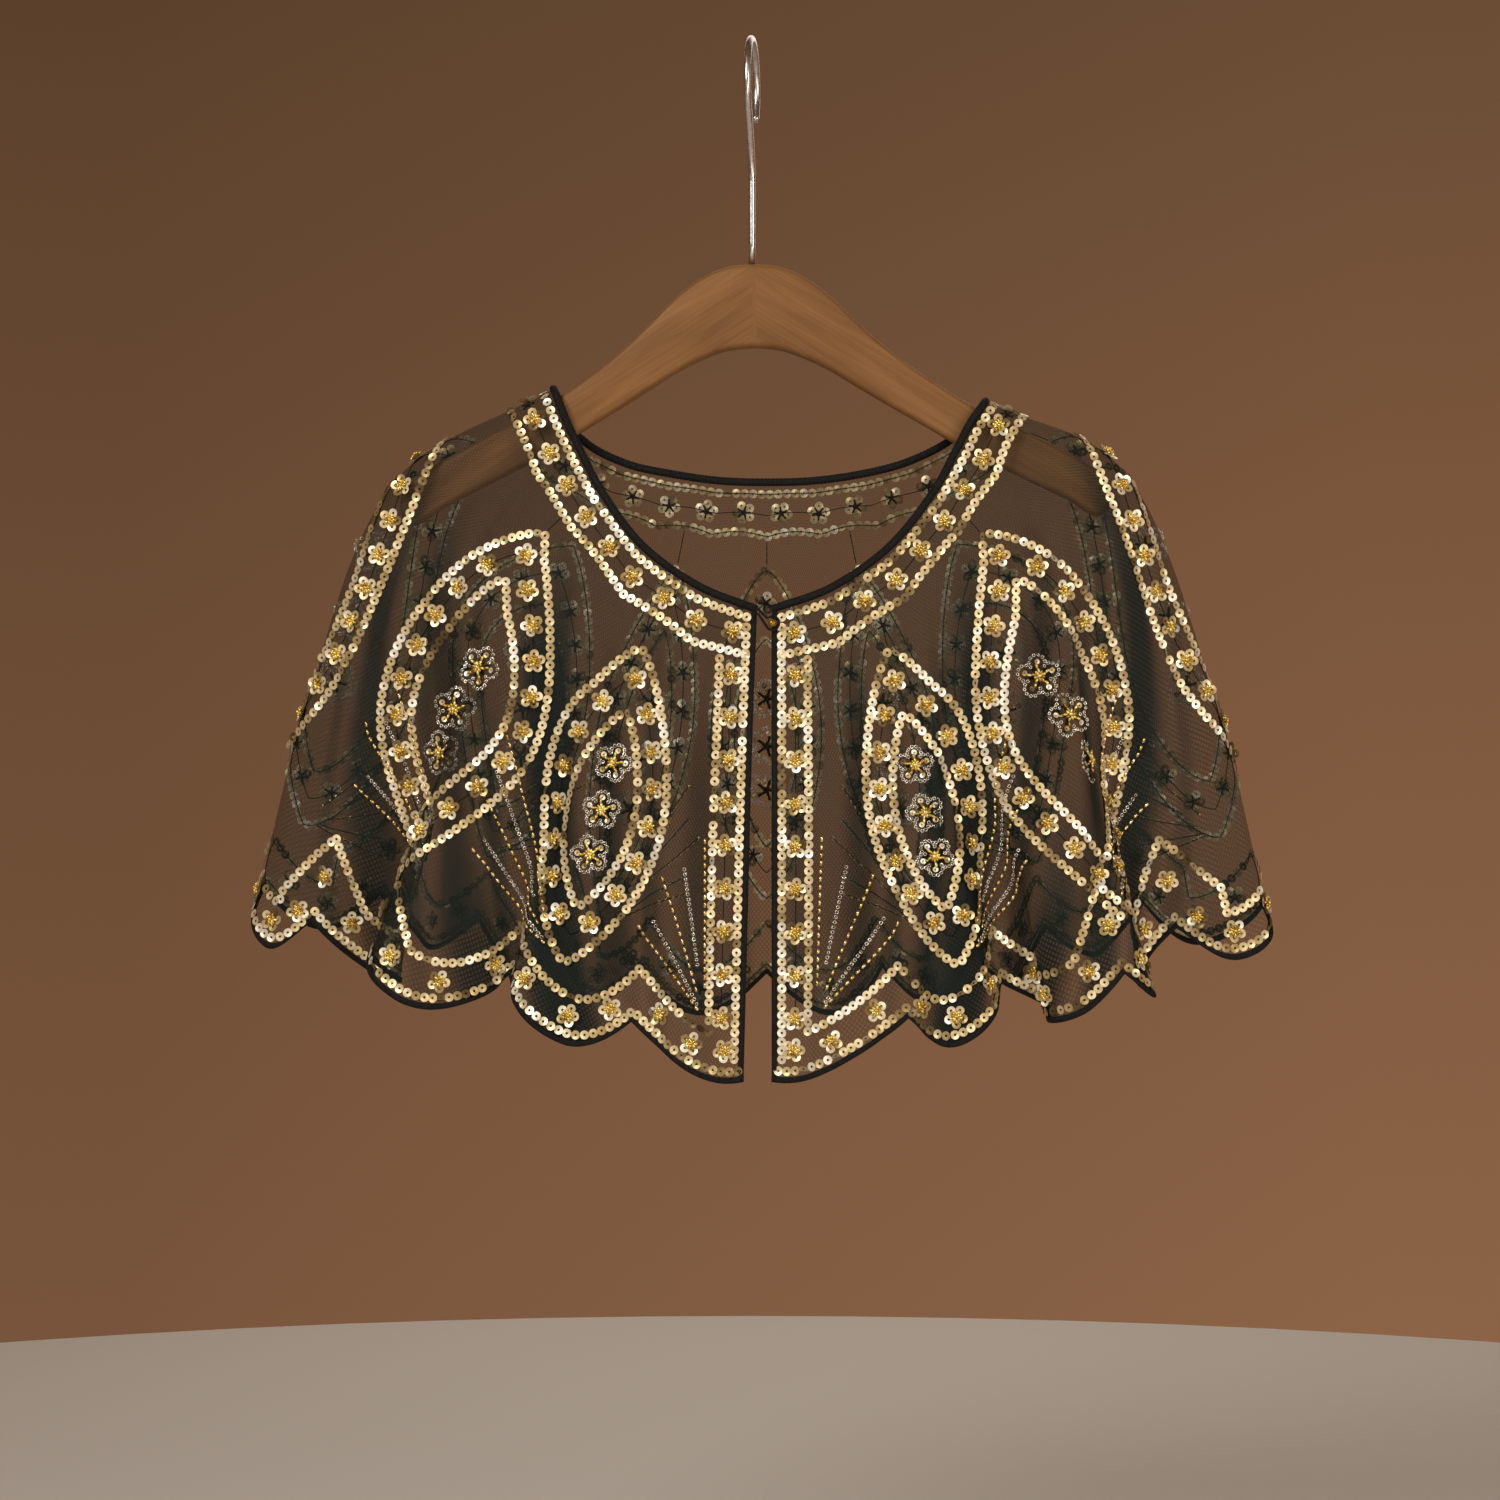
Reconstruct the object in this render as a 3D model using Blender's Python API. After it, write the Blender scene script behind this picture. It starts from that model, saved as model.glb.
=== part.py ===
# Evening stole: a short capelet of black net, open down the front, on a wooden hanger.
#
# Frame: metres, +Z up, +X to the right as the stole is seen from the front, +Y to the back.
# The origin is the inside top of the hanger hook's bend, where a rail would carry it.
# The tables below are in millimetres.

import bpy
import bmesh
import math
import numpy as np
from mathutils import Vector

MM = 0.001

# Driving dimensions of the stole, in mm
SEAM_GAP = 0.3            # between pieces that meet
PIPING_GAP = 0.6          # at the piping, whose straight steps cut the corners of its curve
NET_WALL = 1.0            # wall of the net panels
PIPING_RADIUS = 2.5       # round cord at the neck
BINDING_WIDTH = 3.0       # flat black binding down the front edges and along the hem
BINDING_WALL = 1.8
SCALLOP_DEPTH = 26.0      # from a cusp down to the lowest point of a scallop
SCALLOPS_PER_SIDE = 10    # the cut's own measure: one unit of "cut" is one scallop
CORNER_START = 0.35       # the front corner begins this far into its scallop
SHOULDER_PART = 0.0024    # half the part between two panels at the shoulder line, in the cut
CENTRE_X = 9.0            # the stole hangs a little to the right of the hanger's middle
YOKE_T = 0.30             # share of the drop at which the yoke ring lies
FALL_T = 0.65             # share of the drop at which the fall ring lies
WING_BULGE = 11.0         # how far the side fold stands out between yoke and hem

# Driving dimensions of the hanger, in mm
WOOD_THICKNESS = 13.0
WOOD_EDGE = 2.5           # rounding of its edges
WOOD_TILT = math.radians(0.8)
WOOD_TOP = -133.0         # top of the hump, under the hook
WIRE_RADIUS = 2.1
HOOK_INSIDE_RADIUS = 25.0
HOOK_TURN = math.radians(6.0)   # the hook's plane, turned from square to the hanger

HOOK_SWING_START = -84.0        # where the stem leaves its straight run
HOOK_SWING_PULL = 18.0          # how far that swing runs on straight at the stem
HOOK_BEND_PULL = 16.0           # and how far along the bend it is led in
HOOK_BEND_FROM = math.radians(212)
HOOK_BEND_TO = math.radians(-42)

# Closure at the neck, in mm
BEAD_RADIUS = 2.6
BEAD_BELOW_NECK = 0.03    # share of the drop
LOOP_RADIUS = 0.8
LOOP_SLACK = 0.3          # beyond the seam gap, round the bead
LOOP_OPENS_AT = math.radians(135)
LOOP_LEG_DROP = 2.4       # the lower leg starts this far below the neck corner

# Mesh steps
STEPS_PER_SCALLOP = 7
ROWS_DOWN = 12
SMALL_STEP = 0.02         # in the cut, to measure a width beside a front edge
NORMAL_STEP = 0.004       # in the cut and the drop, to measure a normal
SHARP_BEND = math.radians(80)   # an edge sharper than this stays a hard edge

# Rings of the drape. "cut" counts scallops from a front edge (0) to the back centre (10), and
# "out" is the distance to the side from the stole's centre line, so each side reads alike.
# Columns: cut, out, y, z
NECK_LEFT = (
    (0.00, 6, -33, -341), (1.00, 41, -34, -327), (2.00, 74, -30, -303),
    (3.00, 98, -23, -271), (4.00, 113, -14.5, -242), (4.60, 121, -12, -225),
    (4.85, 126, -9.5, -212), (5.00, 128, 0, -207.5), (5.15, 126, 9.5, -212),
    (5.40, 120, 12, -226), (6.00, 110, 14, -238), (7.00, 85, 18, -251),
    (8.00, 58, 20, -257), (9.00, 29, 22, -261), (10.0, 0, 22, -262),
)
NECK_RIGHT = (
    (0.00, 2.5, -33, -341), (1.00, 38, -34, -328), (2.00, 72, -30, -304),
    (3.00, 98, -23, -272), (4.00, 114, -14.5, -243), (4.60, 123, -11.5, -226.5),
    (4.85, 129, -8.5, -218), (5.00, 131, 0, -215), (5.15, 129, 8.5, -218),
    (5.40, 122, 11.5, -227), (6.00, 111, 14, -237), (7.00, 85, 18, -250),
    (8.00, 58, 20, -257), (9.00, 29, 22, -261), (10.0, 0, 22, -262),
)
YOKE_LEFT = (
    (0.00, 9, -38, -424), (1.00, 52, -42, -411), (2.00, 101, -35, -382),
    (3.00, 152, -28, -340), (4.00, 192, -18.5, -304), (4.60, 210, -12.5, -280),
    (4.85, 219, -8.5, -266), (5.00, 222, 0, -261.5), (5.15, 219, 8.5, -266),
    (5.40, 208, 13, -280), (6.00, 182, 20, -304), (7.00, 130, 26, -334),
    (8.00, 84, 30, -350), (9.00, 42, 31, -358), (10.0, 0, 31, -360),
)
YOKE_RIGHT = (
    (0.00, 2.5, -38, -424), (1.00, 50, -42, -411), (2.00, 97, -35, -384),
    (3.00, 145, -28, -342), (4.00, 185, -18.5, -302), (4.60, 203, -12.5, -276),
    (4.85, 211, -8.5, -261), (5.00, 214, 0, -256.5), (5.15, 211, 8.5, -261),
    (5.40, 202, 13, -276), (6.00, 178, 20, -302), (7.00, 128, 26, -334),
    (8.00, 84, 30, -350), (9.00, 42, 31, -358), (10.0, 0, 31, -360),
)

# The hem's plan, with its folds. Columns: cut, out, y
HEM_LEFT = (
    (0.00, 14, -50), (0.50, 46, -56), (1.00, 80, -47), (1.50, 121, -54),
    (1.85, 150, -46), (2.05, 155, -28), (2.35, 184, -36), (2.70, 220, -47),
    (2.95, 238, -35), (3.15, 230, -15), (3.40, 222, 0), (3.65, 240, 6),
    (4.00, 273, -5), (4.50, 300, -9), (4.80, 309, 2), (5.00, 304, 17),
    (5.50, 270, 30), (6.00, 234, 20), (6.30, 214, 34), (6.60, 204, 54),
    (7.00, 178, 58), (7.30, 160, 43), (7.60, 150, 27), (8.00, 128, 32),
    (8.40, 112, 54), (8.80, 88, 60), (9.10, 70, 50), (9.50, 42, 40), (10.0, 0, 46),
)
HEM_RIGHT = (
    (0.00, 2.5, -50), (0.50, 38, -57), (1.00, 83, -47), (1.50, 113, -54),
    (1.80, 134, -46), (2.00, 140, -28), (2.25, 168, -16), (2.50, 170, -36),
    (2.75, 190, -48), (3.00, 210, -46), (3.30, 227, -37), (3.45, 227, -22),
    (3.65, 220, -6), (3.85, 232, 2), (4.05, 250, -3), (4.50, 283, -9),
    (4.80, 303, 0), (5.00, 300, 17), (5.50, 262, 30), (6.00, 228, 22),
    (6.30, 210, 36), (6.60, 198, 55), (7.00, 172, 58), (7.30, 156, 42),
    (7.60, 146, 27), (8.00, 126, 34), (8.40, 108, 55), (8.80, 84, 60),
    (9.10, 66, 51), (9.50, 40, 41), (10.0, 0, 46),
)

# The line through the hem's cusps. Columns: cut, z on the left, z on the right
CUSP_LEVEL = (
    (0.0, -596, -596), (1.0, -584, -582), (2.0, -557, -562), (3.0, -546, -556),
    (4.0, -527, -531), (5.0, -508, -519), (6.0, -512, -518), (7.0, -530, -534),
    (8.0, -546, -548), (9.0, -558, -558), (10.0, -561, -561),
)

# The hanger's outline. Columns: distance from its middle, z of the top edge, z of the lower edge
WOOD_OUTLINE = (
    (0, -133.0, -183.0), (15, -134.5, -184.5), (31, -141.0, -190.0), (47, -153.0, -198.0),
    (63, -169.0, -208.0), (82, -186.0, -219.5), (105, -203.0, -233.0), (130, -219.0, -248.0),
    (160, -234.0, -263.0), (188, -248.5, -277.0),
)
ARM_END = ((203, -257.5), (210, -265.0), (213, -274.0), (211, -283.0), (203, -286.5))


def clear_scene():
    """Remove whatever the opened file holds."""
    for old in list(bpy.data.objects):
        bpy.data.objects.remove(old, do_unlink=True)


def material(name, colour, roughness, metallic=0.0):
    """A plain Principled material."""
    made = bpy.data.materials.new(name)
    made.use_nodes = True
    shader = made.node_tree.nodes["Principled BSDF"]
    shader.inputs["Base Color"].default_value = (*colour, 1.0)
    shader.inputs["Roughness"].default_value = roughness
    shader.inputs["Metallic"].default_value = metallic
    return made


def add_object(name, mesh_data, mat, smooth_angle=math.radians(35)):
    """Link a finished mesh as one named object."""
    mesh_data.materials.append(mat)
    mesh_data.shade_smooth()
    mesh_data.set_sharp_from_angle(angle=smooth_angle)
    made = bpy.data.objects.new(name, mesh_data)
    bpy.context.scene.collection.objects.link(made)


def whole_ring(left, right):
    """Join a left and a right table into one ring: knots 0 to 20, and a point at each."""
    knots = []
    points = []
    for cut, out, *rest in left:
        knots.append(cut)
        points.append([CENTRE_X - out, *rest])
    for cut, out, *rest in reversed(right[:-1]):
        knots.append(2 * SCALLOPS_PER_SIDE - cut)
        points.append([CENTRE_X + out, *rest])
    return np.array(knots), np.array(points, dtype=float)


def smooth_read(ring, where):
    """Read a ring between its knots on one smooth curve (cubic Hermite)."""
    knots, points = ring
    steps = np.diff(knots)[:, None]
    slopes = np.diff(points, axis=0) / steps
    tangents = np.empty_like(points)
    tangents[0] = slopes[0]
    tangents[-1] = slopes[-1]
    tangents[1:-1] = (slopes[:-1] * steps[1:] + slopes[1:] * steps[:-1]) / (steps[:-1] + steps[1:])
    where = np.atleast_1d(where)
    span = np.clip(np.searchsorted(knots, where, side="right") - 1, 0, len(knots) - 2)
    width = steps[span]
    s = ((where - knots[span])[:, None]) / width
    return (
        (2 * s**3 - 3 * s**2 + 1) * points[span]
        + (s**3 - 2 * s**2 + s) * width * tangents[span]
        + (3 * s**2 - 2 * s**3) * points[span + 1]
        + (s**3 - s**2) * width * tangents[span + 1]
    )


def scallop(where):
    """Share of the scallop's depth, 0 at a cusp and 1 at its lowest point."""
    from_front = np.minimum(where, 2 * SCALLOPS_PER_SIDE - where)
    part = from_front % 1.0
    corner = CORNER_START + (1 - CORNER_START) * from_front
    part = np.where(from_front < 1.0, corner, part)
    return np.abs(np.sin(np.pi * part))


NECK_RING = whole_ring(NECK_LEFT, NECK_RIGHT)
YOKE_RING = whole_ring(YOKE_LEFT, YOKE_RIGHT)
HEM_PLAN = whole_ring(HEM_LEFT, HEM_RIGHT)
LEVEL_RING = (
    np.array([row[0] for row in CUSP_LEVEL] + [20 - row[0] for row in reversed(CUSP_LEVEL[:-1])]),
    np.array([[row[1]] for row in CUSP_LEVEL] + [[row[2]] for row in reversed(CUSP_LEVEL[:-1])],
             dtype=float),
)


def drape(where, share):
    """Points of the net's middle surface, in mm.

    where runs round the cut from the left front edge (0) by the back centre (10) to the right
    front edge (20); share runs down each line from the neck (0) to the hem (1).
    """
    where, share = np.broadcast_arrays(np.atleast_1d(where), np.atleast_1d(share))
    neck = smooth_read(NECK_RING, where)
    yoke = smooth_read(YOKE_RING, where)
    plan = smooth_read(HEM_PLAN, where)
    level = smooth_read(LEVEL_RING, where)
    hem = np.hstack([plan, level - SCALLOP_DEPTH * scallop(where)[:, None]])
    side = np.exp(-((np.minimum(where, 20 - where) - 4.9) / 1.1) ** 2)
    outward = np.sign(yoke[:, :1] - CENTRE_X)
    fall = yoke + (hem - yoke) * ((FALL_T - YOKE_T) / (1 - YOKE_T))
    fall[:, :1] += outward * WING_BULGE * side[:, None]
    rings = (neck, yoke, fall, hem)
    stops = (0.0, YOKE_T, FALL_T, 1.0)
    slopes = [(rings[i + 1] - rings[i]) / (stops[i + 1] - stops[i]) for i in range(3)]
    tangents = [slopes[0], (slopes[0] + slopes[1]) / 2, (slopes[1] + slopes[2]) / 2, slopes[2]]
    found = np.zeros_like(neck)
    for i in range(3):
        width = stops[i + 1] - stops[i]
        s = ((share - stops[i]) / width)[:, None]
        piece = (
            (2 * s**3 - 3 * s**2 + 1) * rings[i]
            + (s**3 - 2 * s**2 + s) * width * tangents[i]
            + (3 * s**2 - 2 * s**3) * rings[i + 1]
            + (s**3 - s**2) * width * tangents[i + 1]
        )
        inside = (share >= stops[i]) & ((share < stops[i + 1]) | (i == 2))
        found[inside] = piece[inside]
    return found


def outward_normal(where, share):
    """Unit normals of the drape, pointing to the outside of the cape."""
    step = NORMAL_STEP
    along = drape(where + step, share) - drape(where - step, share)
    down = drape(where, share + step) - drape(where, share - step)
    normal = np.cross(along, down)
    return normal / np.linalg.norm(normal, axis=1)[:, None]


def drop_length(where):
    """Length of the line from neck to hem at each place, in mm."""
    shares = np.linspace(0, 1, 25)
    lines = [drape(np.full(shares.shape, w), shares) for w in np.atleast_1d(where)]
    return np.array([np.linalg.norm(np.diff(line, axis=0), axis=1).sum() for line in lines])


def shell_mesh(name, wheres, shares, wall):
    """A closed wall on the drape. wheres and shares are grids: a row for each line down."""
    count_round, count_down = shares.shape
    middle = drape(wheres.ravel(), shares.ravel())
    normal = outward_normal(wheres.ravel(), shares.ravel())
    build = bmesh.new()
    sheets = []
    for side in (0.5, -0.5):
        points = (middle + normal * wall * side) * MM
        sheets.append([build.verts.new(Vector(p)) for p in points])

    def corner(sheet, i, j):
        return sheets[sheet][i * count_down + j]

    for i in range(count_round - 1):
        for j in range(count_down - 1):
            build.faces.new([corner(0, i, j), corner(0, i, j + 1),
                             corner(0, i + 1, j + 1), corner(0, i + 1, j)])
            build.faces.new([corner(1, i, j), corner(1, i + 1, j),
                             corner(1, i + 1, j + 1), corner(1, i, j + 1)])
    rim = [(i, 0) for i in range(count_round)]
    rim += [(count_round - 1, j) for j in range(1, count_down)]
    rim += [(i, count_down - 1) for i in range(count_round - 2, -1, -1)]
    rim += [(0, j) for j in range(count_down - 2, 0, -1)]
    for here, there in zip(rim, rim[1:] + rim[:1]):
        build.faces.new([corner(0, *here), corner(0, *there),
                         corner(1, *there), corner(1, *here)])
    return closed_mesh(build, name)


def closed_mesh(build, name):
    """Turn the faces outward, split them into triangles and free the builder."""
    bmesh.ops.recalc_face_normals(build, faces=build.faces)
    bmesh.ops.triangulate(build, faces=build.faces)
    mesh_data = bpy.data.meshes.new(name)
    build.to_mesh(mesh_data)
    build.free()
    return mesh_data


def tube_mesh(name, path, radius, sides):
    """A round bar along a path in mm, with flat ends."""
    points = [Vector(p) * MM for p in path]
    build = bmesh.new()
    across = None
    rings = []
    for i, here in enumerate(points):
        ahead = points[min(i + 1, len(points) - 1)] - points[max(i - 1, 0)]
        ahead.normalize()
        if across is None:
            across = ahead.orthogonal().normalized()
        across = (across - ahead * across.dot(ahead)).normalized()
        other = ahead.cross(across)
        ring = []
        for k in range(sides):
            turn = 2 * math.pi * (k + 0.5) / sides
            offset = across * math.cos(turn) + other * math.sin(turn)
            ring.append(build.verts.new(here + offset * radius * MM))
        rings.append(ring)
    for first, second in zip(rings, rings[1:]):
        for k in range(sides):
            nxt = (k + 1) % sides
            build.faces.new([first[k], first[nxt], second[nxt], second[k]])
    build.faces.new(list(reversed(rings[0])))
    build.faces.new(rings[-1])
    return closed_mesh(build, name)


def cut_width(shares, edge, width):
    """How much of the cut a width in mm takes up beside a front edge, at each share."""
    step = SMALL_STEP if edge == 0 else -SMALL_STEP
    here = drape(edge, shares)
    there = drape(edge + step, shares)
    return width / np.linalg.norm(there - here, axis=1) * abs(step)


def net_panel(name, first, last, mat):
    """One panel of the net between two places of the cut, clear of piping and bindings."""
    lines = np.arange(2 * SCALLOPS_PER_SIDE * STEPS_PER_SCALLOP + 1) / STEPS_PER_SCALLOP
    inside = lines[(lines > first + 0.05) & (lines < last - 0.05)]
    wheres = np.concatenate([[first], inside, [last]])
    lengths = drop_length(wheres)
    top = (PIPING_RADIUS + PIPING_GAP) / lengths
    bottom = 1 - (BINDING_WIDTH + SEAM_GAP) / lengths
    spread = np.linspace(0, 1, ROWS_DOWN + 1)
    shares = top[:, None] + (bottom - top)[:, None] * spread[None, :]
    grid = np.repeat(wheres[:, None], ROWS_DOWN + 1, axis=1)
    beside = BINDING_WIDTH + SEAM_GAP
    if first == 0:
        grid[0] = cut_width(shares[0], 0, beside)
    if last == 2 * SCALLOPS_PER_SIDE:
        grid[-1] = last - cut_width(shares[-1], last, beside)
    add_object(name, shell_mesh(name, grid, shares, NET_WALL), mat)


def front_binding(name, edge, mat):
    """The flat binding down a front edge, from under the piping to above the hem's binding."""
    length = drop_length(edge)[0]
    top = (PIPING_RADIUS + PIPING_GAP) / length
    bottom = 1 - (BINDING_WIDTH + SEAM_GAP) / length
    shares = np.linspace(top, bottom, ROWS_DOWN + 1)
    inner = cut_width(shares, edge, BINDING_WIDTH)
    sides = [np.full(shares.shape, float(edge)), inner if edge == 0 else edge - inner]
    grid = np.stack(sides)
    add_object(name, shell_mesh(name, grid, np.stack([shares, shares]), BINDING_WALL), mat)


def hem_binding(mat):
    """The flat binding that follows the scallops from one front corner to the other."""
    steps = 2 * SCALLOPS_PER_SIDE * STEPS_PER_SCALLOP
    wheres = np.linspace(0, 2 * SCALLOPS_PER_SIDE, steps + 1)
    lengths = drop_length(wheres)
    shares = np.stack([1 - BINDING_WIDTH / lengths, np.ones_like(lengths)], axis=1)
    grid = np.stack([wheres, wheres], axis=1)
    name = "hem_binding"
    add_object(name, shell_mesh(name, grid, shares, BINDING_WALL), mat)


def neck_piping(mat):
    """The round cord sewn round the neck."""
    lines = np.arange(2 * SCALLOPS_PER_SIDE * STEPS_PER_SCALLOP + 1) / STEPS_PER_SCALLOP
    from_shoulder = np.abs(np.minimum(lines, 2 * SCALLOPS_PER_SIDE - lines) - SCALLOPS_PER_SIDE / 2)
    wheres = lines[(np.arange(len(lines)) % 2 == 0) | (from_shoulder < 0.6)]
    path = drape(wheres, 0.0)
    add_object("neck_piping", tube_mesh("neck_piping", path, PIPING_RADIUS, 8), mat)


def closure(thread_mat, bead_mat):
    """A bead on the right neck corner, and the thread loop from the left one round it."""
    left_end = drape(0.0, 0.0)[0]
    right_below = drape(2.0 * SCALLOPS_PER_SIDE, BEAD_BELOW_NECK)[0]
    bead_at = right_below + np.array([0.5, -(BINDING_WALL / 2 + BEAD_RADIUS + SEAM_GAP), 0.0])
    build = bmesh.new()
    bmesh.ops.create_uvsphere(build, u_segments=12, v_segments=8, radius=BEAD_RADIUS * MM)
    bmesh.ops.translate(build, verts=build.verts, vec=Vector(bead_at) * MM)
    add_object("closure_bead", closed_mesh(build, "closure_bead"), bead_mat, SHARP_BEND)

    clear = LOOP_RADIUS + SEAM_GAP
    start = left_end + np.array([0.0, -(PIPING_RADIUS + clear), 0.6])
    reach = BEAD_RADIUS + clear + LOOP_SLACK
    path = [start]
    for turn in np.linspace(LOOP_OPENS_AT, -LOOP_OPENS_AT, 13):
        path.append(bead_at + np.array([reach * math.cos(turn), -0.4, reach * math.sin(turn)]))
    path.append(left_end + np.array([0.4, -(PIPING_RADIUS + clear), -LOOP_LEG_DROP]))
    name = "closure_loop"
    add_object(name, tube_mesh(name, path, LOOP_RADIUS, 6), thread_mat)


def hanger_wood(mat):
    """The wooden body: its outline drawn out to the thickness, with rounded edges."""
    top = [(x, high) for x, high, low in WOOD_OUTLINE]
    low = [(x, low) for x, high, low in WOOD_OUTLINE]
    right = top + list(ARM_END) + list(reversed(low))
    left = [(-x, z) for x, z in reversed(right) if x > 0]
    outline = right + left
    build = bmesh.new()
    half = WOOD_THICKNESS / 2
    turned = []
    for x, z in outline:
        dz = z - WOOD_TOP
        turned.append((x * math.cos(WOOD_TILT) - dz * math.sin(WOOD_TILT),
                       WOOD_TOP + dz * math.cos(WOOD_TILT) + x * math.sin(WOOD_TILT)))
    front = [build.verts.new(Vector((x, -half, z)) * MM) for x, z in turned]
    back = [build.verts.new(Vector((x, half, z)) * MM) for x, z in turned]
    build.faces.new(front)
    build.faces.new(list(reversed(back)))
    for i in range(len(front)):
        nxt = (i + 1) % len(front)
        build.faces.new([front[nxt], front[i], back[i], back[nxt]])
    bmesh.ops.recalc_face_normals(build, faces=build.faces)
    long_edges = [e for e in build.edges
                  if abs(e.verts[0].co.y - e.verts[1].co.y) < half * MM * 0.5]
    bmesh.ops.bevel(build, geom=long_edges, offset=WOOD_EDGE * MM, segments=2,
                    profile=0.5, affect="EDGES")
    add_object("hanger_wood", closed_mesh(build, "hanger_wood"), mat)


def hanger_hook(mat):
    """The steel hook: a straight stem, a swing to one side and a round bend over the rail."""
    bend = HOOK_INSIDE_RADIUS + WIRE_RADIUS
    centre_z = WIRE_RADIUS - bend
    flat = [(0.0, WOOD_TOP + SEAM_GAP), (0.0, (WOOD_TOP + HOOK_SWING_START) / 2)]
    join = (bend * math.cos(HOOK_BEND_FROM), centre_z + bend * math.sin(HOOK_BEND_FROM))
    leave = (-math.sin(HOOK_BEND_FROM), math.cos(HOOK_BEND_FROM))
    first = Vector((0.0, HOOK_SWING_START))
    last = Vector(join)
    ctrl_a = first + Vector((0.0, 1.0)) * HOOK_SWING_PULL
    ctrl_b = last + Vector(leave) * HOOK_BEND_PULL
    for s in np.linspace(0, 1, 8)[:-1]:
        point = (first * (1 - s)**3 + ctrl_a * 3 * s * (1 - s)**2
                 + ctrl_b * 3 * s**2 * (1 - s) + last * s**3)
        flat.append(tuple(point))
    for turn in np.linspace(HOOK_BEND_FROM, HOOK_BEND_TO, 22):
        flat.append((bend * math.cos(turn), centre_z + bend * math.sin(turn)))
    path = [(y * math.sin(HOOK_TURN), y * math.cos(HOOK_TURN), z) for y, z in flat]
    add_object("hanger_hook", tube_mesh("hanger_hook", path, WIRE_RADIUS, 12), mat)


def main():
    clear_scene()
    net = material("net", (0.022, 0.024, 0.022), 0.75)
    cord = material("cord", (0.012, 0.012, 0.012), 0.85)
    gold = material("gold", (0.72, 0.52, 0.20), 0.25, 1.0)
    wood = material("wood", (0.28, 0.13, 0.055), 0.45)
    steel = material("steel", (0.62, 0.62, 0.60), 0.28, 1.0)

    shoulder = SCALLOPS_PER_SIDE / 2
    whole = 2 * SCALLOPS_PER_SIDE
    net_panel("net_front_left", 0, shoulder - SHOULDER_PART, net)
    net_panel("net_back", shoulder + SHOULDER_PART, whole - shoulder - SHOULDER_PART, net)
    net_panel("net_front_right", whole - shoulder + SHOULDER_PART, whole, net)
    neck_piping(cord)
    front_binding("front_binding_left", 0, cord)
    front_binding("front_binding_right", whole, cord)
    hem_binding(cord)
    closure(cord, gold)
    hanger_wood(wood)
    hanger_hook(steel)


main()
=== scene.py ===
import math
import bpy
import bmesh
import numpy as np
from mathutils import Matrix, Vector


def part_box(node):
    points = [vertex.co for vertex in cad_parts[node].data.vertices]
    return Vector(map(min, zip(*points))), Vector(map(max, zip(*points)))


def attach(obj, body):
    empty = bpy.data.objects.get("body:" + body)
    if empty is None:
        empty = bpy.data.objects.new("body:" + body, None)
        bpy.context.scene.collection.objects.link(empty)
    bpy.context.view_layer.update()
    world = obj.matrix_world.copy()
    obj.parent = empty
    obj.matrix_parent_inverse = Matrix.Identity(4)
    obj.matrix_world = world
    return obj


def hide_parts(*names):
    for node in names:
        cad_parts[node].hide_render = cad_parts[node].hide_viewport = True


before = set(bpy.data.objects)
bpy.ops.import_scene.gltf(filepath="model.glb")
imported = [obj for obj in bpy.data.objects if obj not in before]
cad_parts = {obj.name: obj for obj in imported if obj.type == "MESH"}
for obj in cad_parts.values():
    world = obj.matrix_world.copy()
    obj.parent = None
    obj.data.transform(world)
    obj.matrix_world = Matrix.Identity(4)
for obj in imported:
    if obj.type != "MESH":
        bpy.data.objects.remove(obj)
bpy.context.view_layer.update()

# Evening stole: black net capelet with sequins, flowers and beads, on a wooden hanger.
# Its tables and points are in millimetres; mesh_piece turns them into metres.
MM = 0.001
RNG = np.random.default_rng(7)


# Sizes of the trimmings, in mm
SEQUIN_RADIUS = 2.75
SEQUIN_HOLE = 0.78
SEQUIN_CUP = 0.28  # how far the rim stands above the middle
SEQUIN_WALL = 0.12
SEQUIN_STEP = 5.15
ROW_LIFT = 0.9  # height of a sequin's middle over the net
STRING_LIFT = 0.8
BEAD_RADIUS = 0.96
SEED_RADIUS = 1.08
BEAD_STRETCH = 1.6  # a bead's length over its width
SEED_STEP = 4.7
RING_RADIUS = 1.25
RING_WIRE = 0.34
RING_STEP = 3.0
THREAD_RADIUS = 0.35
THREAD_STEP = 3.5
PIPING_RADIUS = 2.4
EDGING_WIDTH = 3.7
EDGING_WALL = 2.2
UNDERSIDE = 0.85  # tone of a sequin's dull back, as a share of its front's
TURNED_SHARE = 0.05  # share of the row sequins that stand on edge

# Flowers, in mm
PETALS = 5
PETAL_REACH = 4.5
PETAL_LEAN = -0.22  # the petals cup inward
STITCH_REACH = 4.3
STITCH_HALF_WIDTH = 0.55
STITCH_DEPTH = 1.3  # the stitches lie this far inside the flower's middle
NECK_FLOWER_STEP = 23.0
FRONT_FLOWER_STEP = 25.0
LEAF_FLOWER_STEP = 22.0
BIG_PETAL_REACH = 7.2
BIG_PETAL_RADIUS = 4.3
RIM_SWEEP = 118  # degrees that the tiny rings run round a petal, to each side
RIM_RINGS = 8
BIG_SEQUIN = 0.62  # scale of the sequin within a petal
BIG_BEADS = ((2.7, 1.7, 0.0), (5.3, 1.4, 0.12), (1.9, 2.4, 0.63))  # reach, rise, turn

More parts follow.
